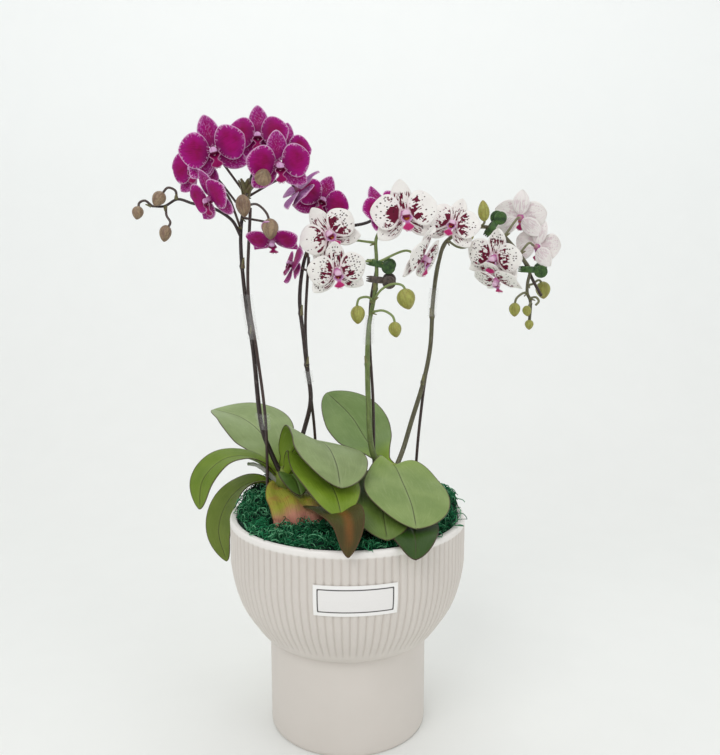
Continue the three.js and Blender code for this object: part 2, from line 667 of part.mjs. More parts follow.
// Flowers: middle, the way it faces, turn about that way in degrees, size, and the place on
// the flower stem that its stalk leaves from
const SPIKES = [
  {
    name: 'spike_purple_left',
    finish: finishes.darkSpike,
    stem: [
      [-52, 9, 194], [-59, 9, 210], [-66, 9, 230], [-72, 9, 292], [-77, 9, 330], [-80, 11, 366],
      [-80, 15, 386], [-77, 19, 404], [-73, 21, 420], [-69, 22, 432],
    ],
    rings: [[-79, 10, 355], [-74, 9, 305]],
    branches: [
      [
        [-80, 12, 378], [-86, 9, 389], [-100, 5, 398], [-114, 4, 401],
        [-125, 4, 404], [-135, 4, 399], [-144, 4, 399],
      ],
    ],
    stalks: [
      [[-144, 4, 399], [-149, 3, 403], [-153, 2, 401], [-153, 1, 397]],
      [[-126, 4, 404], [-126, 2, 410], [-131, 0, 412], [-135, 0, 408]],
      [[-134, 4, 399], [-133, 2, 392], [-130, 0, 387], [-132, 0, 383]],
      [[-77, 19, 404], [-74, 6, 408], [-73, -6, 406], [-74, -12, 402]],
      [[-74, 20, 412], [-68, 4, 414], [-60, -14, 414], [-58, -22, 415]],
      [[-78, 18, 400], [-66, 0, 400], [-57, -14, 392], [-55, -18, 386]],
    ],
    buds: [
      { at: [-154, 1, 394], along: [-0.2, 0, -1], length: 10, width: 8.5 },
      { at: [-138, 0, 404], along: [-0.7, 0, -1], length: 12, width: 10 },
      { at: [-134, 0, 379], along: [-0.2, 0, -1], length: 12.5, width: 9 },
      { at: [-74, -14, 398], along: [0.1, 0, -1], length: 16, width: 11 },
      { at: [-58, -26, 417], along: [0.2, -0.5, 0.4], length: 13, width: 12 },
      { at: [-73, 2, 413], along: [0.2, 0, 1], length: 20, width: 9 },
      { at: [-54.5, -18, 381.5], along: [0, 0, -1], length: 15, width: 12 },
    ],
    flowers: [
      {
        name: 'bloom_purple_1', middle: [-94, -16, 436], faces: [0.15, -0.97, -0.12], turn: 15, size: 1,
        from: [-76, 20, 408],
      },
      {
        name: 'bloom_purple_2', middle: [-113, 12, 427], faces: [-0.5, -0.85, -0.1], turn: 10, size: 0.92,
        from: [-79, 17, 396],
      },
      {
        name: 'bloom_purple_3', middle: [-96, -22, 402], faces: [-0.62, -0.66, -0.4], turn: 6, size: 0.88,
        from: [-80, 13, 384],
      },
      {
        name: 'bloom_purple_4', middle: [-65, 8, 449], faces: [0, -0.98, 0.12], turn: 2, size: 0.94,
        from: [-69, 22, 432],
      },
      {
        name: 'bloom_purple_5', middle: [-48, -16, 426], faces: [0.3, -0.92, -0.22], turn: 6, size: 0.96,
        from: [-73, 21, 420],
      },
      {
        name: 'bloom_purple_6', middle: [-36, 8, 410], faces: [0.62, 0.35, -0.65], turn: 30, size: 0.85,
        from: [-76, 20, 406],
      },
      {
        name: 'bloom_purple_7', middle: [-54, -8, 374], faces: [-0.1, -0.6, -0.8], turn: 0, size: 0.8,
        from: [-79, 16, 392],
      },
      {
        name: 'bloom_purple_8', middle: [-47, 22, 442], faces: [0.35, -0.9, 0.2], turn: -10, size: 0.86,
        from: [-70, 22, 428],
      },
    ],
  },
  {
    name: 'spike_purple_right',
    finish: finishes.darkSpike,
    stem: [
      [-47, 18, 197], [-40, 30, 211], [-35, 35, 226], [-30, 35, 249],
      [-33, 35, 277], [-35, 35, 297], [-38, 35, 329],
      [-35, 36, 356], [-31, 38, 369], [-26, 42, 379], [-14, 46, 386],
      [4, 48, 387], [17, 47, 390], [23, 44, 395],
    ],
    rings: [[-36.5, 35, 318], [-33, 35, 277]],
    branches: [],
    stalks: [],
    buds: [],
    flowers: [
      {
        name: 'bloom_purple_9', middle: [-20, 28, 404], faces: [0.3, -0.92, 0.2], turn: -25, size: 0.9,
        from: [-14, 46, 386],
      },
      {
        name: 'bloom_purple_10', middle: [29, 32, 398], faces: [0.5, -0.75, 0.42], turn: 20, size: 0.88,
        from: [20, 46, 392],
      },
      {
        name: 'bloom_purple_11', middle: [-42, 26, 356], faces: [-0.85, -0.3, 0.3], turn: 10, size: 0.8,
        from: [-32, 37, 367],
      },
    ],
  },
  {
    name: 'spike_spotted_left',
    finish: finishes.greenSpike,
    stem: [
      [29, 10, 197], [20, 8, 210], [16, 8, 253], [16, 8, 307],
      [20, 8, 330], [22, 9, 345], [22, 12, 361], [22, 17, 376],
      [28, 20, 386],
    ],
    rings: [[21, 8, 338], [16, 8, 281]],
    branches: [],
    stalks: [
      [[20, 8, 330], [26, 4, 338], [34, 0, 342], [41, -3, 341], [44, -4, 336]],
      [[21, 8, 328], [16, 4, 332], [9, 2, 331], [7, 2, 325]],
      [[19, 8, 320], [27, 4, 322], [34, 1, 318], [36, 0, 312]],
    ],
    buds: [
      { at: [44, -4, 331], along: [0.3, 0, -1], length: 16, width: 14 },
      { at: [8, 2, 319], along: [0, 0, -1], length: 14, width: 11 },
      { at: [36, 0, 308], along: [0.2, 0, -1], length: 12, width: 10 },
    ],
    flowers: [
      {
        name: 'bloom_spotted_1', middle: [-7, -16, 351], faces: [0.22, -0.94, -0.25], turn: 8, size: 0.9,
        from: [22, 12, 360],
      },
      {
        name: 'bloom_spotted_2', middle: [-13, -2, 378], faces: [0.1, -0.98, 0.05], turn: 33, size: 0.93,
        from: [22, 16, 372],
      },
      {
        name: 'bloom_spotted_3', middle: [42, -7, 392], faces: [0.15, -0.97, 0.1], turn: 8, size: 1.04,
        from: [27, 20, 385],
      },
      {
        name: 'bloom_spotted_4', middle: [56, 1, 361], faces: [0.82, -0.42, -0.4], turn: 0, size: 1,
        from: [22, 12, 358],
      },
    ],
  },
  {
    name: 'spike_spotted_right',
    finish: finishes.oliveSpike,
    stem: [
      [38, 18, 197], [44, 26, 210], [51, 30, 233], [60, 30, 264],
      [65, 30, 291], [67, 30, 331], [71, 30, 359],
      [75, 30, 372], [80, 30, 377], [88, 30, 382], [101, 30, 385],
      [110, 30, 384.5], [120, 30, 379], [128, 30, 371],
      [137, 30, 360], [142, 30, 352], [140.5, 30, 342], [140.5, 30, 334], [143, 30, 328], [142.5, 29, 311],
    ],
    rings: [[60, 30, 264], [66.5, 30, 316]],
    branches: [],
    stalks: [
      [[78, 30, 375], [84, 24, 370], [88, 20, 369], [92, 16, 370]],
      [[103, 30, 385], [105, 26, 388], [105, 24, 392]],
      [[93, 30, 383], [93, 25, 381], [93.5, 23, 379]],
      [[140.5, 30, 335], [136, 27, 334], [131, 25, 330], [130, 25, 326]],
      [[143, 30, 327], [142, 26, 326], [140.5, 25, 323]],
      [[141, 31, 341], [146, 38, 341], [152, 42, 344], [156, 44, 340]],
      [[142.5, 30, 330], [147, 28, 331], [149, 27, 328], [146.5, 26, 325]],
    ],
    buds: [
      { at: [104, 24, 397], along: [-0.1, 0, 1], length: 16, width: 9 },
      { at: [93.5, 22, 377.5], along: [-0.4, -1, 0], length: 7, width: 6 },
      { at: [130, 25, 321.5], along: [0, 0, -1], length: 11, width: 9 },
      { at: [139.5, 24.5, 320.5], along: [0.2, 0, -1], length: 8.5, width: 7 },
      { at: [142.5, 29, 309.5], along: [0, 0, -1], length: 8, width: 7 },
      { at: [156, 44, 336], along: [0.1, 0, -1], length: 14, width: 12 },
    ],
    flowers: [
      {
        name: 'bloom_spotted_5', middle: [79.5, 14, 386], faces: [-0.2, -0.93, 0.25], turn: -18, size: 0.86,
        from: [80, 30, 377],
      },
      {
        name: 'bloom_spotted_6', middle: [110, 6, 361], faces: [-0.5, -0.82, -0.25], turn: -12, size: 0.9,
        from: [117, 30, 381],
      },
      {
        name: 'bloom_spotted_7', middle: [113, 8, 345], faces: [-0.45, -0.4, -0.75], turn: 0, size: 0.8,
        from: [130, 30, 369],
      },
      {
        name: 'bloom_spotted_8', middle: [136, 44, 393], faces: [0.35, 0.92, 0.1], turn: 5, size: 0.86,
        from: [121, 30, 378],
      },
      {
        name: 'bloom_spotted_9', middle: [149, 40, 370], faces: [0.62, 0.72, -0.2], turn: 12, size: 0.84,
        from: [134, 30, 364],
      },
    ],
  },
];

// The back of a flower is this far behind its middle, and its stalk comes straight in for a way
const FLOWER_BACK = 6;
const STALK_RUN = 8;

function stalkPath({ middle, faces, size, from }) {
  const back = vector(faces).normalize().negate();
  const end = vector(middle).addScaledVector(back, FLOWER_BACK * size + GAP);
  const before = end.clone().addScaledVector(back, STALK_RUN);
  return [vector(from), before, end];
}

// The place on a list of polylines that is nearest to a point, where a stalk is rooted
function rootOn(lines, point) {
  const places = lines.flatMap((line) => line.slice(1).map((end, index) => {
    return new THREE.Line3(line[index], end).closestPointToPoint(point, true, new THREE.Vector3());
  }));
  return places.reduce((best, place) => (place.distanceTo(point) < best.distanceTo(point) ? place : best));
}

function spacedLine(stops, steps) {
  return new THREE.CatmullRomCurve3(stops.map(vector), false, 'centripetal').getSpacedPoints(steps);
}

function spike({ stem, rings, branches, stalks, buds, flowers }, grow = 0) {
  const stemRadius = (t) => mix(2, 1.2, t);
  const thin = () => PEDICEL_RADIUS;
  const ring = [[0, -1.6 - grow], [2.7 + grow, 0], [0, 1.6 + grow]];
  const pieces = [tube(stem, stemRadius, stem.length, 5, grow)];
  const lines = [spacedLine(stem, stem.length)];
  const rooted = (first, rest) => [rootOn(lines, vector(first)).toArray(), ...rest];
  branches.forEach(([first, ...rest]) => {
    const stops = rooted(first, rest);
    pieces.push(tube(stops, (t) => mix(1.3, 0.9, t), stops.length, 5, grow));
    lines.push(spacedLine(stops, stops.length));
  });
  stalks.forEach(([first, ...rest]) => {
    pieces.push(tube(rooted(first, rest), thin, rest.length, 4, grow));
  });
  flowers.forEach((flower) => {
    const [first, ...rest] = stalkPath(flower).map((p) => p.toArray());
    pieces.push(tube(rooted(first, rest), thin, rest.length, 4, grow));
  });
  rings.forEach((at) => pieces.push(turned(ring, 6, at)));
  buds.forEach((spec) => pieces.push(bud(spec, grow)));
  return largest(joined(pieces));
}

// One flower facing +Z with its top to +Y: three sepals, and two broad petals before them
const PARTS = [
  { turn: -34, kind: 'sepal' },
  { turn: 14, kind: 'petal' },
  { turn: 90, kind: 'sepal' },
  { turn: 166, kind: 'petal' },
  { turn: 214, kind: 'sepal' },
];
const KINDS = {
  sepal: { length: 21.9, width: 7.8, root: 0.9, rise: -0.7, cup: -1.5, rows: 3, columns: 1 },
  petal: { length: 21.4, width: 12.6, root: 1.1, rise: 0.9, cup: 1.2, rows: 4, columns: 2 },
};
const HUB_RADIUS = 3.2;
const COLUMN = { radius: 1.9, shoulder: 5.6, height: 7 };

function petalSurface({ turn, kind }) {
  const { length, width, root, rise, cup } = KINDS[kind];
  const angle = THREE.MathUtils.degToRad(turn);
  const out = new THREE.Vector3(Math.cos(angle), Math.sin(angle), 0);
  const over = new THREE.Vector3(Math.sin(angle), -Math.cos(angle), 0);
  return (s, u) => {
    const t = THREE.MathUtils.clamp(s, 0, 1);
    const half = Math.max(root * (1 - t), width * Math.sin(Math.PI * t ** 0.9) ** 0.6);
    const p = out.clone().multiplyScalar(HUB_RADIUS + length * t).addScaledVector(over, half * u);
    p.z = rise + cup * 2 * Math.sin(Math.PI * t * 0.6) - cup * 2.2 * t * t - 0.8 * u * u * t;
    return p;
  };
}

// The lip: side lobes raised on both sides of its root, a waist, and a pointed front lobe.
// Its half width swings about a middle value, wide at the side lobes and one pitch further on.
const LIP = { half: 2.6, wave: 1.2, lobe: 0.15, pitch: 0.645 };

function lipSurface(t, u) {
  const half = LIP.half + LIP.wave * Math.cos((2 * Math.PI * (t - LIP.lobe)) / LIP.pitch);
  const lift = 3.2 * Math.max(0, 1 - 2.2 * t);
  const forward = 1.5 + 4.5 * Math.sin(Math.PI * t * 0.7);
  return new THREE.Vector3(-half * u, -1.2 - 10.5 * t, forward + lift * u * u);
}

// The head is one body: the parts' roots meet in a ring, which is drawn out to a column with
// its anther cap in front, and to a point at the stalk's end behind
function flowerHead(thickness, grow) {
  const body = { points: [], faces: [] };
  const roots = PARTS.map((part) => {
    const { rows, columns } = KINDS[part.kind];
    return addBlade(body, petalSurface(part), rows, columns, thickness, grow);
  });
  const back = body.points.push(new THREE.Vector3(0, 0, -FLOWER_BACK - grow)) - 1;
  const cap = body.points.push(new THREE.Vector3(0, 0, COLUMN.height + grow)) - 1;
  const shoulder = (index) => {
    const { x, y } = body.points[index];
    const shrink = (COLUMN.radius + grow) / Math.hypot(x, y);
    return body.points.push(new THREE.Vector3(x * shrink, y * shrink, COLUMN.shoulder + grow)) - 1;
  };
  const ring = roots.flatMap((root) => root.front.map((front, k) => ({ front, back: root.back[k] })));
  ring.forEach((spot) => {
    spot.high = shoulder(spot.front);
  });
  ring.forEach((spot, k) => {
    const next = ring[(k + 1) % ring.length];
    body.faces.push([cap, spot.high, next.high], [spot.high, spot.front, next.front]);
    body.faces.push([spot.high, next.front, next.high], [back, next.back, spot.back]);
  });
  roots.forEach((root, index) => {
    const next = roots[(index + 1) % roots.length];
    wall(body, [root.front.at(-1), next.front[0]], [root.back.at(-1), next.back[0]]);
  });
  return closedMesh(body.points, body.faces);
}

function flowerSolid({ middle, faces, turn, size }, grow = 0) {
  const g = grow / size;
  const pieces = [flowerHead(PETAL_THICKNESS / size, g), blade(lipSurface, 3, 2, PETAL_THICKNESS / size, g)];
  const z = vector(faces).normalize();
  const x = new THREE.Vector3(0, 0, 1).cross(z).normalize();
  const y = z.clone().cross(x);
  const roll = new THREE.Matrix4().makeRotationZ(THREE.MathUtils.degToRad(turn));
  const place = new THREE.Matrix4().makeBasis(x, y, z).setPosition(...middle);
  place.multiply(roll).scale(new THREE.Vector3(size, size, size));
  return largest(joined(pieces).transform(place.toArray()));
}

// Clear sleeves that hold a flower stem to its stake: a flattened tube round the two
const SLEEVES = [
  { name: 'sleeve_purple_left', spike: 0, stake: 0, low: 300, high: 334 },
  { name: 'sleeve_purple_low', spike: 0, stake: 0, low: 231, high: 243 },
  { name: 'sleeve_purple_right', spike: 1, stake: 1, low: 262, high: 272 },
  { name: 'sleeve_spotted_left', spike: 2, stake: 2, low: 296, high: 318 },
  { name: 'sleeve_spotted_right', spike: 3, stake: 3, low: 316, high: 338 },
];

function pointAtHeight(stops, z) {
  const curve = new THREE.CatmullRomCurve3(stops.map(vector), false, 'centripetal');
  const samples = curve.getSpacedPoints(400);
  return samples.find((p) => p.z >= z);
}

function sleeve({ spike: spikeIndex, stake: stakeIndex, low, high }, grow = 0) {
  const steps = 1;
  const wall = 0.7;
  const spare = 3;
  const sides = 8;
  const rings = [];
  for (let i = 0; i <= steps; i += 1) {
    const z = mix(low, high, i / steps);
    const a = pointAtHeight(SPIKES[spikeIndex].stem, z);
    const b = pointAtHeight(STAKES[stakeIndex].path, z);
    rings.push({ z, a, b });
  }
  const shell = (extra, reach) => {
    const points = [];
    rings.forEach(({ z, a, b }, i) => {
      const centre = a.clone().add(b).multiplyScalar(0.5);
      const toward = new THREE.Vector3(a.x - b.x, a.y - b.y, 0);
      const half = toward.length() / 2;
      toward.normalize();
      const beside = new THREE.Vector3(-toward.y, toward.x, 0);
      const r = spare + extra;
      for (let k = 0; k < sides; k += 1) {
        const turn = (2 * Math.PI * (k + 0.5)) / sides;
        const p = centre.clone();
        p.addScaledVector(toward, (Math.cos(turn) > 0 ? half : -half) + r * Math.cos(turn));
        p.addScaledVector(beside, r * Math.sin(turn));
        p.z = z + (i === 0 ? -reach : 0) + (i === steps ? reach : 0);
        points.push(p);
      }
    });
    const faces = [];
    for (let i = 0; i < steps; i += 1) {
      for (let k = 0; k < sides; k += 1) {
        const [p, q] = [i * sides + k, i * sides + ((k + 1) % sides)];
        faces.push([p, q, q + sides], [p, q + sides, p + sides]);
      }
    }
    for (let k = 1; k < sides - 1; k += 1) {
      faces.push([0, k + 1, k], [steps * sides, steps * sides + k, steps * sides + k + 1]);
    }
    return closedMesh(points, faces);
  };
  return grow > 0 ? shell(wall + grow, grow) : shell(wall, 0).subtract(shell(0, 2));
}

// Claw clips: an open ring round stem and stake, with two rounded finger pads
const CLIPS = [
  { name: 'clip_brown', at: [22, 11.5, 345], pads: 0, tilt: 0.1, finish: finishes.darkClip },
  { name: 'clip_green_left', at: [22, 14, 357], pads: -0.1, tilt: 0.2, finish: finishes.greenClip },
  { name: 'clip_green_top', at: [111.5, 32.5, 384.5], pads: 0.1, tilt: -0.95, finish: finishes.greenClip },
  { name: 'clip_green_right', at: [141, 32.5, 352.5], pads: -0.1, tilt: 0.05, finish: finishes.greenClip },
];
const CLIP = { inner: 4.9, outer: 6.1, height: 5, mouth: 0.5, pad: 5.2, padThickness: 1.4, spread: 2.4 };

function clip({ at, pads, tilt }, grow = 0) {
  const ring = new THREE.Shape();
  ring.absarc(0, 0, CLIP.outer + grow, CLIP.mouth - Math.PI, Math.PI - CLIP.mouth, false);
  ring.absarc(0, 0, CLIP.inner - grow, Math.PI - CLIP.mouth, CLIP.mouth - Math.PI, true);
  const height = CLIP.height + 2 * grow;
  const band = new THREE.ExtrudeGeometry(ring, { depth: height, bevelEnabled: false, curveSegments: 5 });
  band.translate(0, 0, -height / 2);
  const pieces = [solidOf(band)];
  [-1, 1].forEach((side) => {
    const pad = new THREE.CylinderGeometry(CLIP.pad + grow, CLIP.pad + grow, CLIP.padThickness + 2 * grow, 6);
    pad.translate(CLIP.outer + CLIP.pad - 1.6, side * CLIP.spread, side * 1.2);
    pieces.push(solidOf(pad));
  });
  const place = new THREE.Matrix4().makeRotationY(tilt).setPosition(...at);
  place.multiply(new THREE.Matrix4().makeRotationZ(pads));
  return largest(joined(pieces).transform(place.toArray()));
}

// Assembly
const group = new THREE.Group();

function add(name, solid, material) {
  const clean = largest(solidOf(geometryOf(solid)));
  const mesh = new THREE.Mesh(geometryOf(clean), material);
  mesh.name = name;
  group.add(mesh);
  return solid;
}

const grownStakes = STAKES.map((spec) => stake(spec, GAP));
const grownSpikes = SPIKES.map((spec) => spike(spec, GAP));
const grownCrowns = CROWNS.map(({ at, top, roots }) => crown(at, top, roots, GAP));
const grownLeaves = LEAVES.map((spec) => leaf(spec, GAP));

const shell = add('pot', pot(), finishes.ceramic);
add('label', label(), finishes.paper);
const stems = [...grownStakes, ...grownCrowns, ...grownSpikes];
const mediumProfile = cavityProfile(GAP, MEDIUM_TOP);
const medium = turned(mediumProfile, FILL_SIDES);
add('growing_medium', clearOf(medium, [...grownStakes, ...grownCrowns]), finishes.bark);
const beddedLeaves = LEAVES.map((spec) => leaf(spec, 2 * GAP));
add('moss', clearOf(mossMound(), [...stems, ...beddedLeaves]), finishes.moss);

CROWNS.forEach(({ name, at, top, roots }) => {
  add(name, clearOf(crown(at, top, roots), [...grownStakes, shell]), finishes.crown);
});
STAKES.forEach((spec) => add(spec.name, stake(spec), finishes.stake));
SPIKES.forEach((spec, index) => {
  const earlier = grownSpikes.slice(0, index);
  add(spec.name, clearOf(spike(spec), [...grownStakes, ...grownCrowns, ...earlier]), spec.finish);
});
LEAVES.forEach((spec, index) => {
  const material = spec.old ? finishes.oldLeaf : finishes.leaf;
  add(spec.name, clearOf(leaf(spec), [...stems, ...grownLeaves.slice(0, index)]), material);
});

const placedClips = [];
CLIPS.forEach((spec) => {
  const solid = clearOf(clip(spec), [...grownStakes, ...grownSpikes]);
  add(spec.name, solid, spec.finish);
  placedClips.push(clip(spec, GAP));
});
SLEEVES.forEach((spec) => add(spec.name, sleeve(spec), finishes.clear));

const grownFlowers = [...placedClips, ...SLEEVES.map((spec) => sleeve(spec, GAP))];
SPIKES.forEach(({ name, flowers }) => {
  const material = name.includes('purple') ? finishes.purple : finishes.spotted;
  flowers.forEach((flower) => {
    const neighbours = [...grownStakes, ...grownSpikes, ...grownFlowers];
    add(flower.name, clearOf(flowerSolid(flower), neighbours), material);
    grownFlowers.push(flowerSolid(flower, GAP));
  });
});

export default group;
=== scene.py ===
"""Looks of the potted miniature moth orchid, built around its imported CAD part.

Lengths are millimetres until a mesh is written; the origin is on the bowl's axis under its foot.
"""

import math

import bpy
import numpy as np
from mathutils.kdtree import KDTree
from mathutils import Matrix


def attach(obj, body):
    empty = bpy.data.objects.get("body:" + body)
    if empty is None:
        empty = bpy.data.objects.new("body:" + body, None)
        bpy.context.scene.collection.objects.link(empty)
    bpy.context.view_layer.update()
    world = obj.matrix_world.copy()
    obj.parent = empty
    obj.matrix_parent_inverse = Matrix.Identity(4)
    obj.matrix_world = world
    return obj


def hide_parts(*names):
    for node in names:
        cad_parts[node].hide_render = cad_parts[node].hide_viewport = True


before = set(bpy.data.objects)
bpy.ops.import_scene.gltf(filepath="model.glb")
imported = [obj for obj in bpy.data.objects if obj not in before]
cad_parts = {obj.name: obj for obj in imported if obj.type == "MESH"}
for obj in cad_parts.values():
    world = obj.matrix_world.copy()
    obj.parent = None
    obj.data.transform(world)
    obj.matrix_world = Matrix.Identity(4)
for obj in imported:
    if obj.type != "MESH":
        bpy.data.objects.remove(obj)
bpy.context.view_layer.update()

MM = 0.001
BODY = "root"
RANDOM = np.random.default_rng(11)

# Driving dimensions, the same as the part's
GAP = 0.35
POT_HEIGHT = 167
BOWL_RADIUS = 90
FOOT_RADIUS = 60.5
FOOT_TOP = 74
WALL = 4.5
FLOOR = 6
LIP_HEIGHT = 4
LABEL_MIDDLE = 130
RIB_COUNT = 96
RIB_DEPTH = 0.9
INSIDE_RADIUS = BOWL_RADIUS - WALL - RIB_DEPTH
MEDIUM_TOP = 157
MOSS_EDGE = 168
MOSS_RISE = 13
MOSS_FRONT = 70
LEAF_THICKNESS = 1.8
PETAL_THICKNESS = 0.7
STAKE_RADIUS = 1.2
PEDICEL_RADIUS = 1
PURPLE_CROWN = [-50, 12]
SPOTTED_CROWN = [34, 14]

# Places and sizes, the same as the part's but for two flatter leaf roots
BOWL_PROFILE = [
    [FOOT_TOP, FOOT_RADIUS],
    [77.5, 66.5],
    [86, 73],
    [103, 83],
    [LABEL_MIDDLE, BOWL_RADIUS - 0.3],
    [POT_HEIGHT - LIP_HEIGHT, BOWL_RADIUS],
]

MOSS_HEAPS = [{"at": [78, 4], "height": 11, "spread": 26}, {"at": [-68, 34], "height": 10, "spread": 30}]

LABEL = {"left": -22, "right": 35, "low": 122, "high": 144, "thickness": 0.6}

CROWNS = [
    {
        "name": "crown_purple", "at": PURPLE_CROWN, "top": 200,
        "roots": [
            [[-46, 8, 182], [-38, 0, 188], [-32, -8, 183], [-29, -12, 172], [-28, -13, 164]],
            [[-54, 10, 186], [-64, 6, 198], [-71, 4, 203], [-77, 3, 204]],
        ],
    },
    {
        "name": "crown_spotted", "at": SPOTTED_CROWN, "top": 202,
        "roots": [[[39, 18, 182], [48, 26, 186], [56, 30, 178], [58, 31, 166]]],
    },
]

LEAVES = [
    {
        "name": "leaf_purple_left",
        "path": [
            [-56, 11, 191], [-66, 8, 202], [-80, 5, 209], [-96, 0, 207], [-110, -5, 193], [-113, -8, 171],
        ],
        "across": [[-0.2, 1, 0.2], [-0.92, 0.4, 0]], "width": 14, "fold": 0.3,
    },
    {
        "name": "leaf_purple_low_left",
        "path": [
            [-56, 16, 181], [-68, 19, 185], [-84, 27, 179], [-100, 35, 161], [-107, 39, 137],
            [-101, 38, 112],
        ],
        "across": [[-0.3, 1, 0.2], [-0.98, 0.2, 0]], "width": 14, "fold": 0.25,
    },
    {
        "name": "leaf_purple_back",
        "path": [[-54, 18, 191], [-60, 28, 205], [-71, 44, 218], [-90, 62, 228], [-116, 76, 233]],
        "across": [[0.98, 0.1, 0.1], [0.35, 0.9, 0.1]], "width": 31, "fold": 0.32,
    },
    {
        "name": "leaf_purple_front",
        "path": [
            [-47, 12, 198], [-43, 13, 212], [-32, 6, 222], [-17, -11, 222], [-8, -36, 214], [-4, -61, 203],
        ],
        "across": [[-0.93, -0.1, 0.35], [-0.95, -0.1, 0.25]], "width": 29, "fold": 0.12, "root_fold": 0.45,
    },
    {
        "name": "leaf_purple_under",
        "path": [
            [-47, 8, 192], [-40, 2, 203], [-28, -12, 209], [-15, -36, 203], [-7, -56, 195], [-3, -69, 184],
        ],
        "across": [[-0.93, -0.1, 0.35], [-0.96, -0.1, 0.2]], "width": 25, "fold": 0.16, "root_fold": 0.45,
    },
    {
        "name": "leaf_purple_small",
        "path": [[-48, 4, 191], [-44, -8, 198], [-38, -20, 196], [-34, -29, 188]],
        "across": [[-1, -0.1, 0.15], [-1, -0.2, 0.1]], "width": 11, "fold": 0.2,
    },
    {
        "name": "leaf_purple_cut",
        "path": [[-50, 3, 180], [-44, -12, 186], [-37, -27, 185], [-33, -37, 176], [-32, -40, 165]],
        "across": [[-1, -0.1, 0.1], [-1, -0.12, 0.05]], "width": 21, "fold": -0.12, "cut": True,
        "old": True,
    },
    {
        "name": "leaf_purple_old",
        "path": [[-42, 4, 175], [-24, -24, 178], [-8, -54, 185], [2, -80, 185], [2, -99, 167]],
        "across": [[-1, -0.3, 0], [-1, 0, -0.3]], "width": 15, "fold": 0.25, "old": True,
    },
    {
        "name": "leaf_spotted_back",
        "path": [[32, 15, 196], [23, 25, 205], [14, 40, 215], [2, 60, 230], [-19, 80, 247]],
        "across": [[0.9, 0.35, 0.1], [0.88, 0.4, 0.25]], "width": 27, "fold": 0.25,
    },
    {
        "name": "leaf_spotted_front",
        "path": [[34, 12, 196], [36, 0, 202], [41, -24, 196], [46, -50, 187], [48, -74, 178]],
        "across": [[-1, 0, 0.15], [-0.97, 0, 0.2]], "width": 32, "fold": 0.14,
    },
    {
        "name": "leaf_spotted_middle",
        "path": [[32, 8, 189], [28, -10, 193], [25, -34, 187], [26, -58, 181], [28, -80, 172]],
        "across": [[-1, 0, 0.2], [-0.98, 0, 0.12]], "width": 26, "fold": 0.16,
    },
    {
        "name": "leaf_spotted_low",
        "path": [[36, 8, 182], [41, -20, 180], [45, -54, 175], [47, -80, 172], [46, -95, 164]],
        "across": [[-1, 0.1, 0.05], [-1, 0, 0]], "width": 20, "fold": 0.1,
    },
]

STAKES = [
    {
        "name": "stake_purple_left",
        "path": [
            [-62, 3, 96], [-62, 3, 180], [-63, 4, 240], [-69, 6, 292], [-74.5, 6, 336], [-72, 8, 398],
        ],
    },
    {
        "name": "stake_purple_right",
        "path": [[-26, 40, 96], [-27, 40, 216], [-31, 40, 260], [-34, 40, 304], [-31, 41, 362]],
    },
    {
        "name": "stake_spotted_left",
        "path": [[20, 13, 96], [20, 13, 244], [17, 13, 300], [18, 13, 330], [22, 14, 352]],
    },
    {
        "name": "stake_spotted_right",
        "path": [
            [55, 34, 96], [55, 34, 192], [60, 34, 252], [65, 34, 290], [67, 34, 331], [71, 34.5, 359],
            [79, 35, 376], [88, 35, 381.5], [101, 35, 385], [111, 35, 384], [128, 35, 370.5],
            [138, 35, 359], [146, 34, 343], [152, 32, 332],
        ],
    },
]


def flower(name, middle, faces, turn, size, root):
    """A bloom: its middle, the way it faces, its turn, and where its stalk leaves the stem"""
    return {"name": name, "middle": middle, "faces": faces, "turn": turn, "size": size, "from": root}


def shut(at, along, length, width, bracts=0):
    """A bud, or a bundle of bracts"""
    return {"at": at, "along": along, "length": length, "width": width, "bracts": bracts}


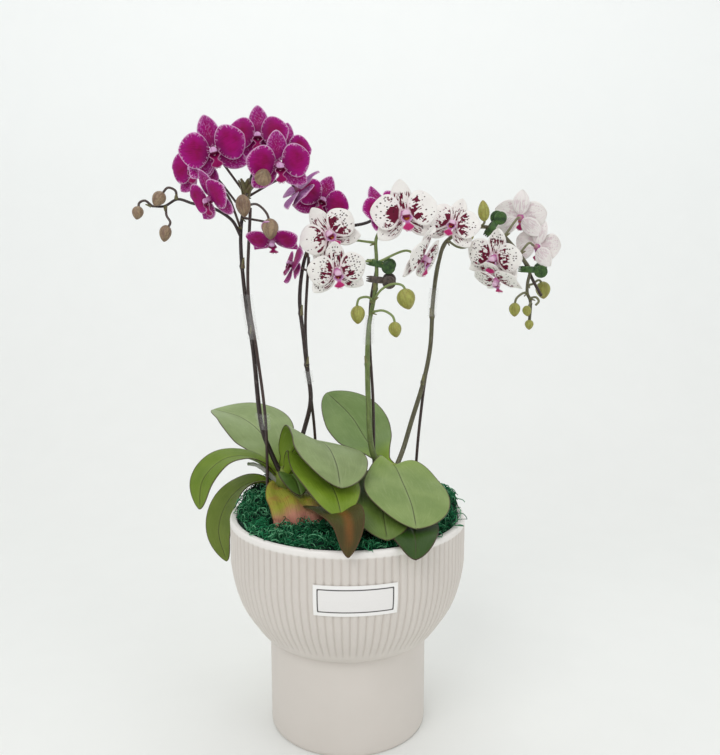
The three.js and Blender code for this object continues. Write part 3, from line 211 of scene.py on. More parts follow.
SPIKES = [
    {
        "name": "spike_purple_left", "finish": "dark",
        "stem": [
            [-52, 9, 194], [-59, 9, 210], [-66, 9, 230], [-72, 9, 292], [-77, 9, 330], [-80, 11, 366],
            [-80, 15, 386], [-77, 19, 404], [-73, 21, 420], [-69, 22, 432],
        ],
        "rings": [[-79, 10, 355], [-74, 9, 305]],
        "branches": [
            [
                [-80, 12, 378], [-86, 9, 389], [-100, 5, 398], [-114, 4, 401], [-125, 4, 404],
                [-135, 4, 399], [-144, 4, 399],
            ],
        ],
        "stalks": [
            [[-144, 4, 399], [-149, 3, 403], [-153, 2, 401], [-153, 1, 397]],
            [[-126, 4, 404], [-126, 2, 410], [-131, 0, 412], [-135, 0, 408]],
            [[-134, 4, 399], [-133, 2, 392], [-130, 0, 387], [-132, 0, 383]],
            [[-77, 19, 404], [-74, 6, 408], [-73, -6, 406], [-74, -12, 402]],
            [[-74, 20, 412], [-68, 4, 414], [-60, -14, 414], [-58, -22, 415]],
            [[-78, 18, 400], [-66, 0, 400], [-57, -14, 392], [-55, -18, 386]],
        ],
        "buds": [
            shut([-154, 1, 394], [-0.2, 0, -1], 10, 8.5), shut([-138, 0, 404], [-0.7, 0, -1], 12, 10),
            shut([-134, 0, 379], [-0.2, 0, -1], 12.5, 9), shut([-74, -14, 398], [0.1, 0, -1], 16, 11),
            shut([-58, -26, 417], [0.2, -0.5, 0.4], 13, 12),
            shut([-73, 2, 413], [0.2, 0, 1], 20, 9, bracts=9),
            shut([-54.5, -18, 381.5], [0, 0, -1], 15, 12),
        ],
        "flowers": [
            flower("bloom_purple_1", [-94, -16, 436], [0.15, -0.97, -0.12], 15, 1, [-76, 20, 408]),
            flower("bloom_purple_2", [-113, 12, 427], [-0.5, -0.85, -0.1], 10, 0.92, [-79, 17, 396]),
            flower("bloom_purple_3", [-96, -22, 402], [-0.62, -0.66, -0.4], 6, 0.88, [-80, 13, 384]),
            flower("bloom_purple_4", [-65, 8, 449], [0, -0.98, 0.12], 2, 0.94, [-69, 22, 432]),
            flower("bloom_purple_5", [-48, -16, 426], [0.3, -0.92, -0.22], 6, 0.96, [-73, 21, 420]),
            flower("bloom_purple_6", [-36, 8, 410], [0.62, 0.35, -0.65], 30, 0.85, [-76, 20, 406]),
            flower("bloom_purple_7", [-54, -8, 374], [-0.1, -0.6, -0.8], 0, 0.8, [-79, 16, 392]),
            flower("bloom_purple_8", [-47, 22, 442], [0.35, -0.9, 0.2], -10, 0.86, [-70, 22, 428]),
        ],
    },
    {
        "name": "spike_purple_right", "finish": "dark",
        "stem": [
            [-47, 18, 197], [-40, 30, 211], [-35, 35, 226], [-30, 35, 249], [-33, 35, 277], [-35, 35, 297],
            [-38, 35, 329], [-35, 36, 356], [-31, 38, 369], [-26, 42, 379], [-14, 46, 386], [4, 48, 387],
            [17, 47, 390], [23, 44, 395],
        ],
        "rings": [[-36.5, 35, 318], [-33, 35, 277]], "branches": [], "stalks": [], "buds": [],
        "flowers": [
            flower("bloom_purple_9", [-20, 28, 404], [0.3, -0.92, 0.2], -25, 0.9, [-14, 46, 386]),
            flower("bloom_purple_10", [29, 32, 398], [0.5, -0.75, 0.42], 20, 0.88, [20, 46, 392]),
            flower("bloom_purple_11", [-42, 26, 356], [-0.85, -0.3, 0.3], 10, 0.8, [-32, 37, 367]),
        ],
    },
    {
        "name": "spike_spotted_left", "finish": "green",
        "stem": [
            [29, 10, 197], [20, 8, 210], [16, 8, 253], [16, 8, 307], [20, 8, 330], [22, 9, 345],
            [22, 12, 361], [22, 17, 376], [28, 20, 386],
        ],
        "rings": [[21, 8, 338], [16, 8, 281]], "branches": [],
        "stalks": [
            [[20, 8, 330], [26, 4, 338], [34, 0, 342], [41, -3, 341], [44, -4, 336]],
            [[21, 8, 328], [16, 4, 332], [9, 2, 331], [7, 2, 325]],
            [[19, 8, 320], [27, 4, 322], [34, 1, 318], [36, 0, 312]],
        ],
        "buds": [
            shut([44, -4, 331], [0.3, 0, -1], 16, 14), shut([8, 2, 319], [0, 0, -1], 14, 11),
            shut([36, 0, 308], [0.2, 0, -1], 12, 10),
        ],
        "flowers": [
            flower("bloom_spotted_1", [-7, -16, 351], [0.22, -0.94, -0.25], 8, 0.9, [22, 12, 360]),
            flower("bloom_spotted_2", [-13, -2, 378], [0.1, -0.98, 0.05], 33, 0.93, [22, 16, 372]),
            flower("bloom_spotted_3", [42, -7, 392], [0.15, -0.97, 0.1], 8, 1.04, [27, 20, 385]),
            flower("bloom_spotted_4", [56, 1, 361], [0.82, -0.42, -0.4], 0, 1, [22, 12, 358]),
        ],
    },
    {
        "name": "spike_spotted_right", "finish": "olive",
        "stem": [
            [38, 18, 197], [44, 26, 210], [51, 30, 233], [60, 30, 264], [65, 30, 291], [67, 30, 331],
            [71, 30, 359], [75, 30, 372], [80, 30, 377], [88, 30, 382], [101, 30, 385], [110, 30, 384.5],
            [120, 30, 379], [128, 30, 371], [137, 30, 360], [142, 30, 352], [140.5, 30, 342],
            [140.5, 30, 334], [143, 30, 328], [142.5, 29, 311],
        ],
        "rings": [[60, 30, 264], [66.5, 30, 316]], "branches": [],
        "stalks": [
            [[78, 30, 375], [84, 24, 370], [88, 20, 369], [92, 16, 370]],
            [[103, 30, 385], [105, 26, 388], [105, 24, 392]],
            [[93, 30, 383], [93, 25, 381], [93.5, 23, 379]],
            [[140.5, 30, 335], [136, 27, 334], [131, 25, 330], [130, 25, 326]],
            [[143, 30, 327], [142, 26, 326], [140.5, 25, 323]],
            [[141, 31, 341], [146, 38, 341], [152, 42, 344], [156, 44, 340]],
            [[142.5, 30, 330], [147, 28, 331], [149, 27, 328], [146.5, 26, 325]],
        ],
        "buds": [
            shut([104, 24, 397], [-0.1, 0, 1], 16, 9), shut([93.5, 22, 377.5], [-0.4, -1, 0], 7, 6),
            shut([130, 25, 321.5], [0, 0, -1], 11, 9), shut([139.5, 24.5, 320.5], [0.2, 0, -1], 8.5, 7),
            shut([142.5, 29, 309.5], [0, 0, -1], 8, 7), shut([156, 44, 336], [0.1, 0, -1], 14, 12),
        ],
        "flowers": [
            flower("bloom_spotted_5", [79.5, 14, 386], [-0.2, -0.93, 0.25], -18, 0.86, [80, 30, 377]),
            flower("bloom_spotted_6", [110, 6, 361], [-0.5, -0.82, -0.25], -12, 0.9, [117, 30, 381]),
            flower("bloom_spotted_7", [113, 8, 345], [-0.45, -0.4, -0.75], 0, 0.8, [130, 30, 369]),
            flower("bloom_spotted_8", [136, 44, 393], [0.35, 0.92, 0.1], 5, 0.86, [121, 30, 378]),
            flower("bloom_spotted_9", [149, 40, 370], [0.62, 0.72, -0.2], 12, 0.84, [134, 30, 364]),
        ],
    },
]

PARTS = [
    {"turn": -34, "kind": "sepal"}, {"turn": 14, "kind": "petal"}, {"turn": 90, "kind": "sepal"},
    {"turn": 166, "kind": "petal"}, {"turn": 214, "kind": "sepal"},
]

KINDS = {
    "sepal": {"length": 21.9, "width": 7.8, "root": 0.9, "rise": -0.7, "cup": -1.5},
    "petal": {"length": 21.4, "width": 12.6, "root": 1.1, "rise": 0.9, "cup": 1.2},
}

SLEEVES = [
    {"name": "sleeve_purple_left", "spike": 0, "stake": 0, "low": 300, "high": 334},
    {"name": "sleeve_purple_low", "spike": 0, "stake": 0, "low": 231, "high": 243},
    {"name": "sleeve_purple_right", "spike": 1, "stake": 1, "low": 262, "high": 272},
    {"name": "sleeve_spotted_left", "spike": 2, "stake": 2, "low": 296, "high": 318},
    {"name": "sleeve_spotted_right", "spike": 3, "stake": 3, "low": 316, "high": 338},
]

CLIPS = [
    {"name": "clip_brown", "at": [22, 11.5, 345], "pads": 0, "tilt": 0.1, "finish": "brown"},
    {"name": "clip_green_left", "at": [22, 14, 357], "pads": -0.1, "tilt": 0.2, "finish": "green"},
    {"name": "clip_green_top", "at": [111.5, 32.5, 384.5], "pads": 0.1, "tilt": -0.95, "finish": "green"},
    {"name": "clip_green_right", "at": [141, 32.5, 352.5], "pads": -0.1, "tilt": 0.05, "finish": "green"},
]

SLEEVE_OUTER = 3.6
SLEEVE_INNER = 3.0

CLIP = {
    "inner": 4.9, "outer": 6.1, "height": 5, "mouth": 0.5, "pad": 5.2, "padThickness": 1.4, "spread": 2.4,
}


# Small helpers
def unit(v):
    return v / np.maximum(np.linalg.norm(v, axis=-1, keepdims=True), 1e-12)


def direction(v):
    return unit(np.array(v, float))


def axes(along):
    """A direction and two across it"""
    axis = direction(along)
    side = unit(np.cross(axis, [0.3, 0.9, 0.2]))
    return axis, side, np.cross(axis, side)


def turns(sides):
    return 2 * np.pi * np.arange(sides) / sides


def lengths(points):
    """How far each point is along its line"""
    return np.concatenate([[0], np.cumsum(np.linalg.norm(np.diff(points, axis=0), axis=1))])


def mix(a, b, t):
    return a + (b - a) * t


def smooth(t):
    t = np.clip(t, 0, 1)
    return t * t * (3 - 2 * t)


def stacked(*values):
    """Values or grids of values as the last axis of one array"""
    return np.stack(np.broadcast_arrays(*values), -1)


def spline(stops, t):
    """Points at shares t of the length of the smooth curve through stops"""
    p = np.array(stops, float)
    q = np.vstack([2 * p[0] - p[1], p, 2 * p[-1] - p[-2]])
    w = np.linspace(0, 1, 24, endpoint=False)[:, None]
    parts = []
    for p0, p1, p2, p3 in zip(q, q[1:], q[2:], q[3:]):
        d0, d1, d2 = (np.linalg.norm(b - a) ** 0.5 for a, b in ((p0, p1), (p1, p2), (p2, p3)))
        t1 = ((p1 - p0) / d0 - (p2 - p0) / (d0 + d1) + (p2 - p1) / d1) * d1
        t2 = ((p2 - p1) / d1 - (p3 - p1) / (d1 + d2) + (p3 - p2) / d2) * d1
        parts.append(p1 + t1 * w + (3 * (p2 - p1) - 2 * t1 - t2) * w**2 + (2 * (p1 - p2) + t1 + t2) * w**3)
    dense = np.vstack([*parts, p[-1:]])
    run = lengths(dense)
    at = np.clip(np.asarray(t, float), 0, 1) * run[-1]
    return np.stack([np.interp(at, run, dense[:, k]) for k in range(3)], -1)


def spaced(stops, step=1.5, least=8):
    """Even points along the smooth curve through stops"""
    return spline(stops, np.linspace(0, 1, max(least, int(lengths(stops)[-1] / step))))


# Mesh tools
class Body:
    """Points, faces and point values of one piece. spot is (along, across, from the edge) in
    millimetres, form is (side, share along, share across), and mark is (seed, part, extra)."""

    def __init__(self):
        self.points = []
        self.faces = []
        self.values = {"spot": [], "form": [], "mark": []}
        self.count = 0

    def add(self, points, faces, **values):
        points = np.asarray(points, float).reshape(-1, 3)
        self.points.append(points)
        self.faces += [np.asarray(group, int) + self.count for group in faces]
        for name, kept in self.values.items():
            value = np.asarray(values.get(name, (0, 0, 0)), float)
            kept.append(np.broadcast_to(value.reshape(-1, 3), (len(points), 3)))
        self.count += len(points)

    def move(self, matrix, shift):
        self.points = [points @ matrix.T + shift for points in self.points]

    def piece(self, name, material, node, slot, crease=None):
        """Writes the mesh, and places it for its node of the part"""
        mesh = bpy.data.meshes.new(name)
        points = np.concatenate(self.points) * MM
        mesh.vertices.add(len(points))
        mesh.vertices.foreach_set("co", points.ravel().astype(np.float32))
        sizes = np.concatenate([np.full(len(group), group.shape[1]) for group in self.faces])
        corners = np.concatenate([group.ravel() for group in self.faces])
        mesh.loops.add(len(corners))
        mesh.loops.foreach_set("vertex_index", corners.astype(np.int32))
        mesh.polygons.add(len(sizes))
        starts = np.concatenate([[0], np.cumsum(sizes)[:-1]])
        mesh.polygons.foreach_set("loop_start", starts.astype(np.int32))
        mesh.polygons.foreach_set("use_smooth", np.ones(len(sizes), bool))
        mesh.update(calc_edges=True)
        mesh.validate()
        for key, kept in self.values.items():
            values = np.concatenate(kept).astype(np.float32)
            mesh.attributes.new(key, "FLOAT_VECTOR", "POINT").data.foreach_set("vector", values.ravel())
        if crease:
            mesh.set_sharp_from_angle(angle=math.radians(crease))
        mesh.materials.append(material)
        thing = bpy.data.objects.new(name, mesh)
        bpy.context.scene.collection.objects.link(thing)
        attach(thing, BODY)
        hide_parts(node)
        return thing


def sheet(body, middle, half, spot, form, mark):
    """A closed blade around a grid of middle points, half as thick on each side"""
    rows, columns = middle.shape[:2]
    normal = unit(np.cross(np.gradient(middle, axis=1), np.gradient(middle, axis=0)))
    shift = normal * half[..., None]
    index = np.arange(rows * columns).reshape(rows, columns)
    quads = np.stack([index[:-1, :-1], index[:-1, 1:], index[1:, 1:], index[1:, :-1]], -1).reshape(-1, 4)
    border = np.concatenate([index[0, :-1], index[:-1, -1], index[-1, :0:-1], index[:0:-1, 0]])
    after = np.roll(border, -1)
    low = rows * columns
    wall = np.stack([border + low, after + low, after, border], -1)
    points = np.concatenate([(middle + shift).reshape(-1, 3), (middle - shift).reshape(-1, 3)])
    spot = np.concatenate([spot.reshape(-1, 3)] * 2)
    form = np.concatenate([form.reshape(-1, 3)] * 2)
    form[low:, 0] = 1
    mark = np.broadcast_to(mark, (rows, columns, 3)).reshape(-1, 3)
    faces = [quads, quads[:, ::-1] + low, wall]
    body.add(points, faces, spot=spot, form=form, mark=np.concatenate([mark] * 2))


def bands(index):
    """Faces between the rows of a grid of closed rings"""
    after = np.roll(index, -1, axis=1)
    return np.stack([index[:-1], after[:-1], after[1:], index[1:]], -1).reshape(-1, 4)


def loft(body, rings, first, last, spot=(0, 0, 0), form=(0, 0, 0), mark=(0, 0, 0)):
    """A closed body through rings of points, with a tip at each end"""
    rings = np.asarray(rings, float)
    count, sides = rings.shape[:2]
    index = np.arange(count * sides).reshape(count, sides)
    low = count * sides
    start = stacked(low, np.roll(index[0], -1), index[0])
    end = stacked(low + 1, index[-1], np.roll(index[-1], -1))

    def spread(value):
        value = np.asarray(value, float)
        if value.ndim < 2:
            return value
        value = np.broadcast_to(value, (count, sides, 3)).reshape(-1, 3)
        return np.concatenate([value, value[:1], value[-1:]])

    points = np.concatenate([rings.reshape(-1, 3), [first], [last]])
    body.add(points, [bands(index), start, end], spot=spread(spot), form=spread(form), mark=spread(mark))


def frames(path):
    """Direction and two steady sideways directions at each point of a path"""
    along = unit(np.gradient(np.asarray(path, float), axis=0))
    side = unit(np.cross(along[0], [0.31, 0.52, 0.79]))
    sides = []
    for direction in along:
        side = unit(side - direction * np.dot(side, direction))
        sides.append(side)
    sides = np.array(sides)
    return along, sides, np.cross(along, sides)


def tube(body, path, radius, sides, mark=(0, 0, 0), tip=0.5):
    """A closed tube along a path. spot gets the length run and the turn, form the share of both."""
    path = np.asarray(path, float)
    radius = np.broadcast_to(np.asarray(radius, float), len(path))
    along, side, up = frames(path)
    turn = turns(sides)
    out = side[:, None] * np.cos(turn)[:, None] + up[:, None] * np.sin(turn)[:, None]
    rings = path[:, None] + out * radius[:, None, None]
    run = lengths(path)
    spot = stacked(run[:, None], (turn * radius.mean())[None], 0.0)
    form = stacked(0.0, (run / run[-1])[:, None], (turn / (2 * np.pi))[None])
    first = path[0] - along[0] * radius[0] * tip
    last = path[-1] + along[-1] * radius[-1] * tip
    loft(body, rings, first, last, spot, form, mark)


def turned(body, profile, sides, centre=(0, 0), shift=None):
    """A round body from a profile of (radius, height) that starts and ends on its axis"""
    profile = np.asarray(profile, float)
    turn = turns(sides)
    rings = []
    for r, z in profile[1:-1]:
        reach = r + (shift(turn, z, r) if shift else 0)
        rings.append(stacked(centre[0] + reach * np.cos(turn), centre[1] + reach * np.sin(turn), z))
    loft(body, rings, *((*centre, profile[end][1]) for end in (0, -1)))


# Materials
PART_CODE = {"sepal": 0, "petal": 1, "lip": 2, "column": 3, "callus": 4, "stalk": 1, "bract": 2}


def rgb(red, green, blue):
    """A colour read off as 0 to 255, in linear light"""
    c = np.array([red, green, blue]) / 255
    linear = np.where(c <= 0.04045, c / 12.92, ((c + 0.055) / 1.055) ** 2.4)
    return (*linear.tolist(), 1)


class Value:
    """What a material's node gives, for sums, products and soft steps"""

    def __init__(self, look, socket):
        self.look = look
        self.socket = socket

    def __add__(self, other):
        return self.look.math("ADD", self, other)

    def __sub__(self, other):
        return self.look.math("SUBTRACT", self, other)

    def __rsub__(self, other):
        return self.look.math("SUBTRACT", other, self)

    def __mul__(self, other):
        return self.look.math("MULTIPLY", self, other)

    def __abs__(self):
        return self.look.math("ABSOLUTE", self)

    def rise(self, low, high):
        """0 below low, 1 above high, smooth between"""
        inputs = {"Value": self, "From Min": low, "From Max": high}
        return self.look.value("MapRange", inputs, interpolation_type="SMOOTHSTEP")

    def fall(self, low, high):
        return 1.0 - self.rise(low, high)

    def band(self, low, high, soft):
        return self.rise(low - soft, low + soft) * self.fall(high - soft, high + soft)


class Look:
    """A material: one principled shader and the nodes that feed it"""

    def __init__(self, name, **constants):
        self.material = bpy.data.materials.new(name)
        self.material.use_nodes = True
        self.tree = self.material.node_tree
        self.shader = self.tree.nodes["Principled BSDF"]
        for key, value in constants.items():
            self.shader.inputs[key.replace("_", " ")].default_value = value

    def feed(self, socket, value):
        value = getattr(value, "socket", value)
        if isinstance(value, bpy.types.NodeSocket):
            self.tree.links.new(value, socket)
        else:
            socket.default_value = value

    def node(self, kind, inputs, **settings):
        node = self.tree.nodes.new("ShaderNode" + kind)
        for key, value in settings.items():
            setattr(node, key, value)
        for key, value in inputs.items():
            self.feed(node.inputs[key], value)
        return node

    def value(self, kind, inputs, output=0, **settings):
        return Value(self, self.node(kind, inputs, **settings).outputs[output])

    def set(self, key, value):
        self.feed(self.shader.inputs[key], value)

    def math(self, operation, *values):
        return self.value("Math", dict(enumerate(values)), operation=operation)

    def blend(self, share, a, b):
        return self.value("Mix", {0: share, 6: a, 7: b}, 2, data_type="RGBA")

    def values(self, *names):
        """The three values of each named point attribute"""
        vectors = (self.value("Attribute", {}, "Vector", attribute_name=name) for name in names)
        return [value for vector in vectors for value in self.split(vector)]

    def split(self, vector):
        return [Value(self, output) for output in self.node("SeparateXYZ", {0: vector}).outputs]

    def join(self, vector):
        """A vector as it is, or made of three values"""
        return vector if isinstance(vector, Value) else self.value("CombineXYZ", dict(enumerate(vector)))

    def place(self):
        """Where a point is, in millimetres"""
        where = self.value("TexCoord", {}, "Object")
        return self.value("VectorMath", {0: where, 3: 1 / MM}, operation="SCALE")

    def noise(self, vector, scale, detail=3.0, roughness=0.55):
        inputs = {"Vector": self.join(vector), "Scale": scale, "Detail": detail, "Roughness": roughness}
        return self.value("TexNoise", inputs, "Fac")

    def cells(self, vector, scale, randomness=1.0):
        """The distance from the middle of a cell, and the red of its random colour"""
        inputs = {"Vector": self.join(vector), "Scale": scale, "Randomness": randomness}
        node = self.node("TexVoronoi", inputs)
        return Value(self, node.outputs["Distance"]), self.split(Value(self, node.outputs["Color"]))[0]

    def done(self, colour, height, strength, distance):
        """The material with its colour, and relief as deep as distance in millimetres"""
        inputs = {"Strength": strength, "Distance": distance * MM, "Height": height}
        self.set("Normal", self.value("Bump", inputs))
        self.set("Base Color", colour)
        return self.material


def is_part(part, name):
    """1 where the part's number in the mark is that of the named part"""
    return part.band(PART_CODE[name] - 0.5, PART_CODE[name] + 0.5, 0.2)


def ceramic_look():
    look = Look("ceramic", Roughness=0.55)
    where = look.place()
    cloud = look.noise(where, 0.03, 4)
    grain = look.noise(where, 1.6, 2)
    colour = look.blend(cloud, rgb(212, 205, 197), rgb(219, 212, 205))
    x, y, z = look.split(where)
    wave = look.math("COSINE", look.math("ARCTAN2", y, x) * (RIB_COUNT / 2))
    # Painted shade: the rib valleys are darkened towards a warm brown-grey, as shadow between the ribs.
    rib_valley_shade = abs(wave).fall(0.1, 0.7) * z.band(84, 162, 3)
    colour = look.blend(rib_valley_shade * 0.2, colour, rgb(158, 144, 132))
    # Painted highlight: the rounded lip band at the top is lightened towards white.
    colour = look.blend(z.rise(161.5, 163.5) * 0.75, colour, rgb(246, 243, 239))
    speck = look.noise(where, 0.9, 2).rise(0.7, 0.78)
    look.set("Roughness", grain * 0.15 + 0.45)
    return look.done(look.blend(speck * 0.12, colour, rgb(190, 180, 170)), grain, 0.25, 0.12)


def paper_look():
    look = Look("label_paper", Roughness=0.65)
    x, z, inset = look.values("spot")
    rule = inset.band(2.55, 3.4, 0.12)
    fibre = look.noise((x * 0.8, z * 2.4, 0.0), 1.0, 4)
    paper = look.blend(fibre, rgb(240, 238, 235), rgb(250, 249, 247))
    paper = look.blend(inset.rise(3.2, 3.6) * 0.6, paper, rgb(232, 229, 227))
    return look.done(look.blend(rule * 0.95, paper, rgb(48, 44, 44)), fibre, 0.2, 0.05)


def bark_look():
    look = Look("bark_chips", Roughness=0.9)
    where = look.place()
    far, pick = look.cells(where, 0.16)
    grain = look.noise(where, 0.8, 5)
    colour = look.blend(pick, rgb(70, 48, 34), rgb(128, 94, 66))
    return look.done(look.blend(grain * 0.5, colour, rgb(38, 26, 20)), far + grain * 2.0, 0.8, 1.5)


def moss_look(name, dark, light, bright):
    look = Look(name, Roughness=0.8, Specular_IOR_Level=0.15)
    seed = look.values("mark")[0]
    where = look.place()
    patch = look.noise(where, 0.045, 3)
    fibre = look.noise(where, 2.2, 2)
    colour = look.blend(patch.rise(0.35, 0.65), dark, light)
    colour = look.blend(seed.rise(0.55, 1.0), colour, bright)
    colour = look.blend(fibre * 0.3, colour, rgb(6, 34, 24))
    return look.done(colour, fibre, 0.4, 0.2)


def stem_look(name, skin, dark, pale, painted_glint=0.0):
    look = Look(name, Roughness=0.42, Specular_IOR_Level=0.45)
    run = look.values("spot")[0]
    turn = look.values("form")[2]
    part = look.values("mark")[1]
    streak = look.noise((run * 0.06, turn * 5.0, part), 2.0, 4)
    fleck = look.noise(look.place(), 1.3, 4)
    colour = look.blend(streak.rise(0.35, 0.7), skin, dark)
    colour = look.blend(fleck.rise(0.5, 0.75) * 0.45, colour, pale)
    colour = look.blend(is_part(part, "stalk") * 0.45, colour, pale)
    leafy = look.blend(fleck.rise(0.4, 0.65), rgb(124, 130, 72), rgb(116, 86, 76))
    colour = look.blend(is_part(part, "bract") * 0.75, colour, leafy)
    # Painted highlight: pale grey glints streaked along the stem, blended in by the function's last
    # argument.
    painted_glint_mask = look.noise((run * 0.12, turn * 3.0, 7.0), 2.5, 3).rise(0.58, 0.7)
    colour = look.blend(painted_glint_mask * painted_glint, colour, rgb(176, 172, 168))
    return look.done(colour, streak, 0.35, 0.25)


def bud_look(name, base, blush, tip):
    look = Look(name, Roughness=0.5, Subsurface_Weight=0.08, Subsurface_Scale=0.002)
    _, share, turn = look.values("form")
    seed = look.values("mark")[0]
    rib = abs(look.math("SINE", turn * 9.42 + seed))
    vein = look.noise((turn * 16.0, share * 1.5, seed), 1.0, 3)
    colour = look.blend(vein.rise(0.35, 0.7), base, blush)
    mottle = look.noise(look.place(), 0.7, 3).rise(0.48, 0.62)
    colour = look.blend(mottle * 0.45, colour, tip)
    colour = look.blend(rib.fall(0.02, 0.16) * 0.6, colour, blush)
    return look.done(look.blend(share.rise(0.7, 1.0) * 0.6, colour, tip), rib + vein, 0.35, 0.35)


def wire_look():
    look = Look("stake_coat", Roughness=0.38, Coat_Weight=0.15)
    run = look.values("spot")[0]
    turn = look.values("form")[2]
    patch = look.noise((run * 0.1, turn * 2.0, 3.0), 2.0, 4)
    colour = look.blend(patch, rgb(32, 22, 20), rgb(70, 46, 40))
    # Painted highlight: pale grey patches on the dark coat stand in for glints.
    stake_painted_highlight = look.noise(look.place(), 0.9, 4).rise(0.62, 0.72)
    return look.done(look.blend(stake_painted_highlight * 0.35, colour, rgb(150, 140, 132)), patch, 0.3, 0.15)


def plastic_look(name, base, dark):
    look = Look(name, Roughness=0.35, Specular_IOR_Level=0.5)
    where = look.place()
    mottle = look.noise(where, 0.35, 3)
    grain = look.noise(where, 2.5, 2)
    look.set("Roughness", grain * 0.2 + 0.28)
    return look.done(look.blend(mottle.rise(0.35, 0.7), base, dark), grain, 0.2, 0.1)


def clear_look():
    look = Look("sleeve_film", Roughness=0.12)
    x, y, z = look.split(look.place())
    crease = look.noise((x * 0.2, y * 0.2, z * 0.05), 1.0, 1)
    # Painted highlight: the same lengthwise noise makes the film whiter and more opaque in streaks, and it
    # also gives the creases' relief.
    look.set("Alpha", crease.rise(0.3, 0.7) * 0.07 + 0.02)
    return look.done(look.blend(crease, rgb(228, 228, 226), rgb(250, 250, 249)), crease, 0.1, 0.2)


def root_look():
    look = Look("crown_and_roots", Roughness=0.6)
    share = look.values("form")[1]
    part = look.values("mark")[1]
    where = look.place()
    grain = look.noise(where, 0.8, 4)
    root = look.blend(grain, rgb(150, 152, 140), rgb(196, 198, 188))
    root = look.blend(share.rise(0.85, 1.0) * 0.6, root, rgb(120, 140, 90))
    stem = look.blend(grain, rgb(104, 122, 48), rgb(150, 166, 70))
    return look.done(look.blend(part, stem, root), grain, 0.6, 0.3)


def leaf_look(name, top, under, base, rough=0.38):
    look = Look(name, Roughness=rough, Specular_IOR_Level=0.3)
    run, over, edge, side, share, u = look.values("spot", "form")
    cloud = look.noise(look.place(), 0.05, 3)
    vein = look.noise((run * 0.035, u * 9.0, 1.0), 2.2, 2)
    fine = look.noise((run * 0.5, over * 0.9, 2.0), 1.0, 4)
    front = look.blend(cloud.rise(0.3, 0.7), top[0], top[1])
    back = look.blend(cloud.rise(0.3, 0.7), under[0], under[1])
    colour = look.blend(side, front, back)
    colour = look.blend(vein.rise(0.5, 0.75) * 0.3, colour, top[2])
    colour = look.blend(fine * 0.16, colour, rgb(52, 66, 30))
    colour = look.blend(share.fall(0.03, 0.3) * 0.8, colour, base)
    middle = abs(over)
    groove = middle.fall(0.15, 0.62) * share.fall(0.93, 0.99)
    colour = look.blend(middle.fall(0.5, 3.4) * share.rise(0.1, 0.3) * 0.25, colour, top[2])
    colour = look.blend(groove * 0.82, colour, rgb(58, 62, 34))
    colour = look.blend(edge.fall(0.3, 1.0) * 0.85, colour, rgb(70, 44, 42))
    look.set("Roughness", fine * 0.12 + rough)
    relief = vein * 0.6 - middle.fall(0.1, 1.5)
    return look.done(colour, relief + fine * 0.25, 0.5, 0.7)


def old_leaf_look(name, colours, turning, heart=0.0):
    """An ageing leaf: its base colour, its blotches, and its tip from the first share to the last"""
    base, blotch, tip = colours
    look = Look(name, Roughness=0.6, Specular_IOR_Level=0.3)
    run, over, edge = look.values("spot")
    share = look.values("form")[1]
    cloud = look.noise(look.place(), 0.08, 4)
    line = look.noise((run * 0.05, over * 1.3, 4.0), 1.5, 3)
    spread = share + (cloud * 0.3 - 0.15)
    colour = look.blend(cloud.rise(0.46, 0.62) * 0.7, base, blotch)
    colour = look.blend(spread.rise(*turning), colour, tip)
    amber = abs(over).fall(0.5, 5.5) * spread.band(0.5, 0.92, 0.12)
    colour = look.blend(amber * heart, colour, rgb(142, 82, 30))
    colour = look.blend(line.rise(0.52, 0.72) * 0.45, colour, rgb(92, 80, 30))
    colour = look.blend(edge.fall(0.2, 1.1) * 0.8, colour, rgb(84, 58, 34))
    return look.done(colour, line, 0.7, 0.8)


def translucent(look, colour, share):
    """Lets some light through a petal"""
    glow = look.node("BsdfTranslucent", {0: colour}).outputs[0]
    output = look.tree.nodes["Material Output"]
    both = look.node("MixShader", {0: share, 1: look.shader.outputs[0], 2: glow}).outputs[0]
    look.tree.links.new(both, output.inputs["Surface"])


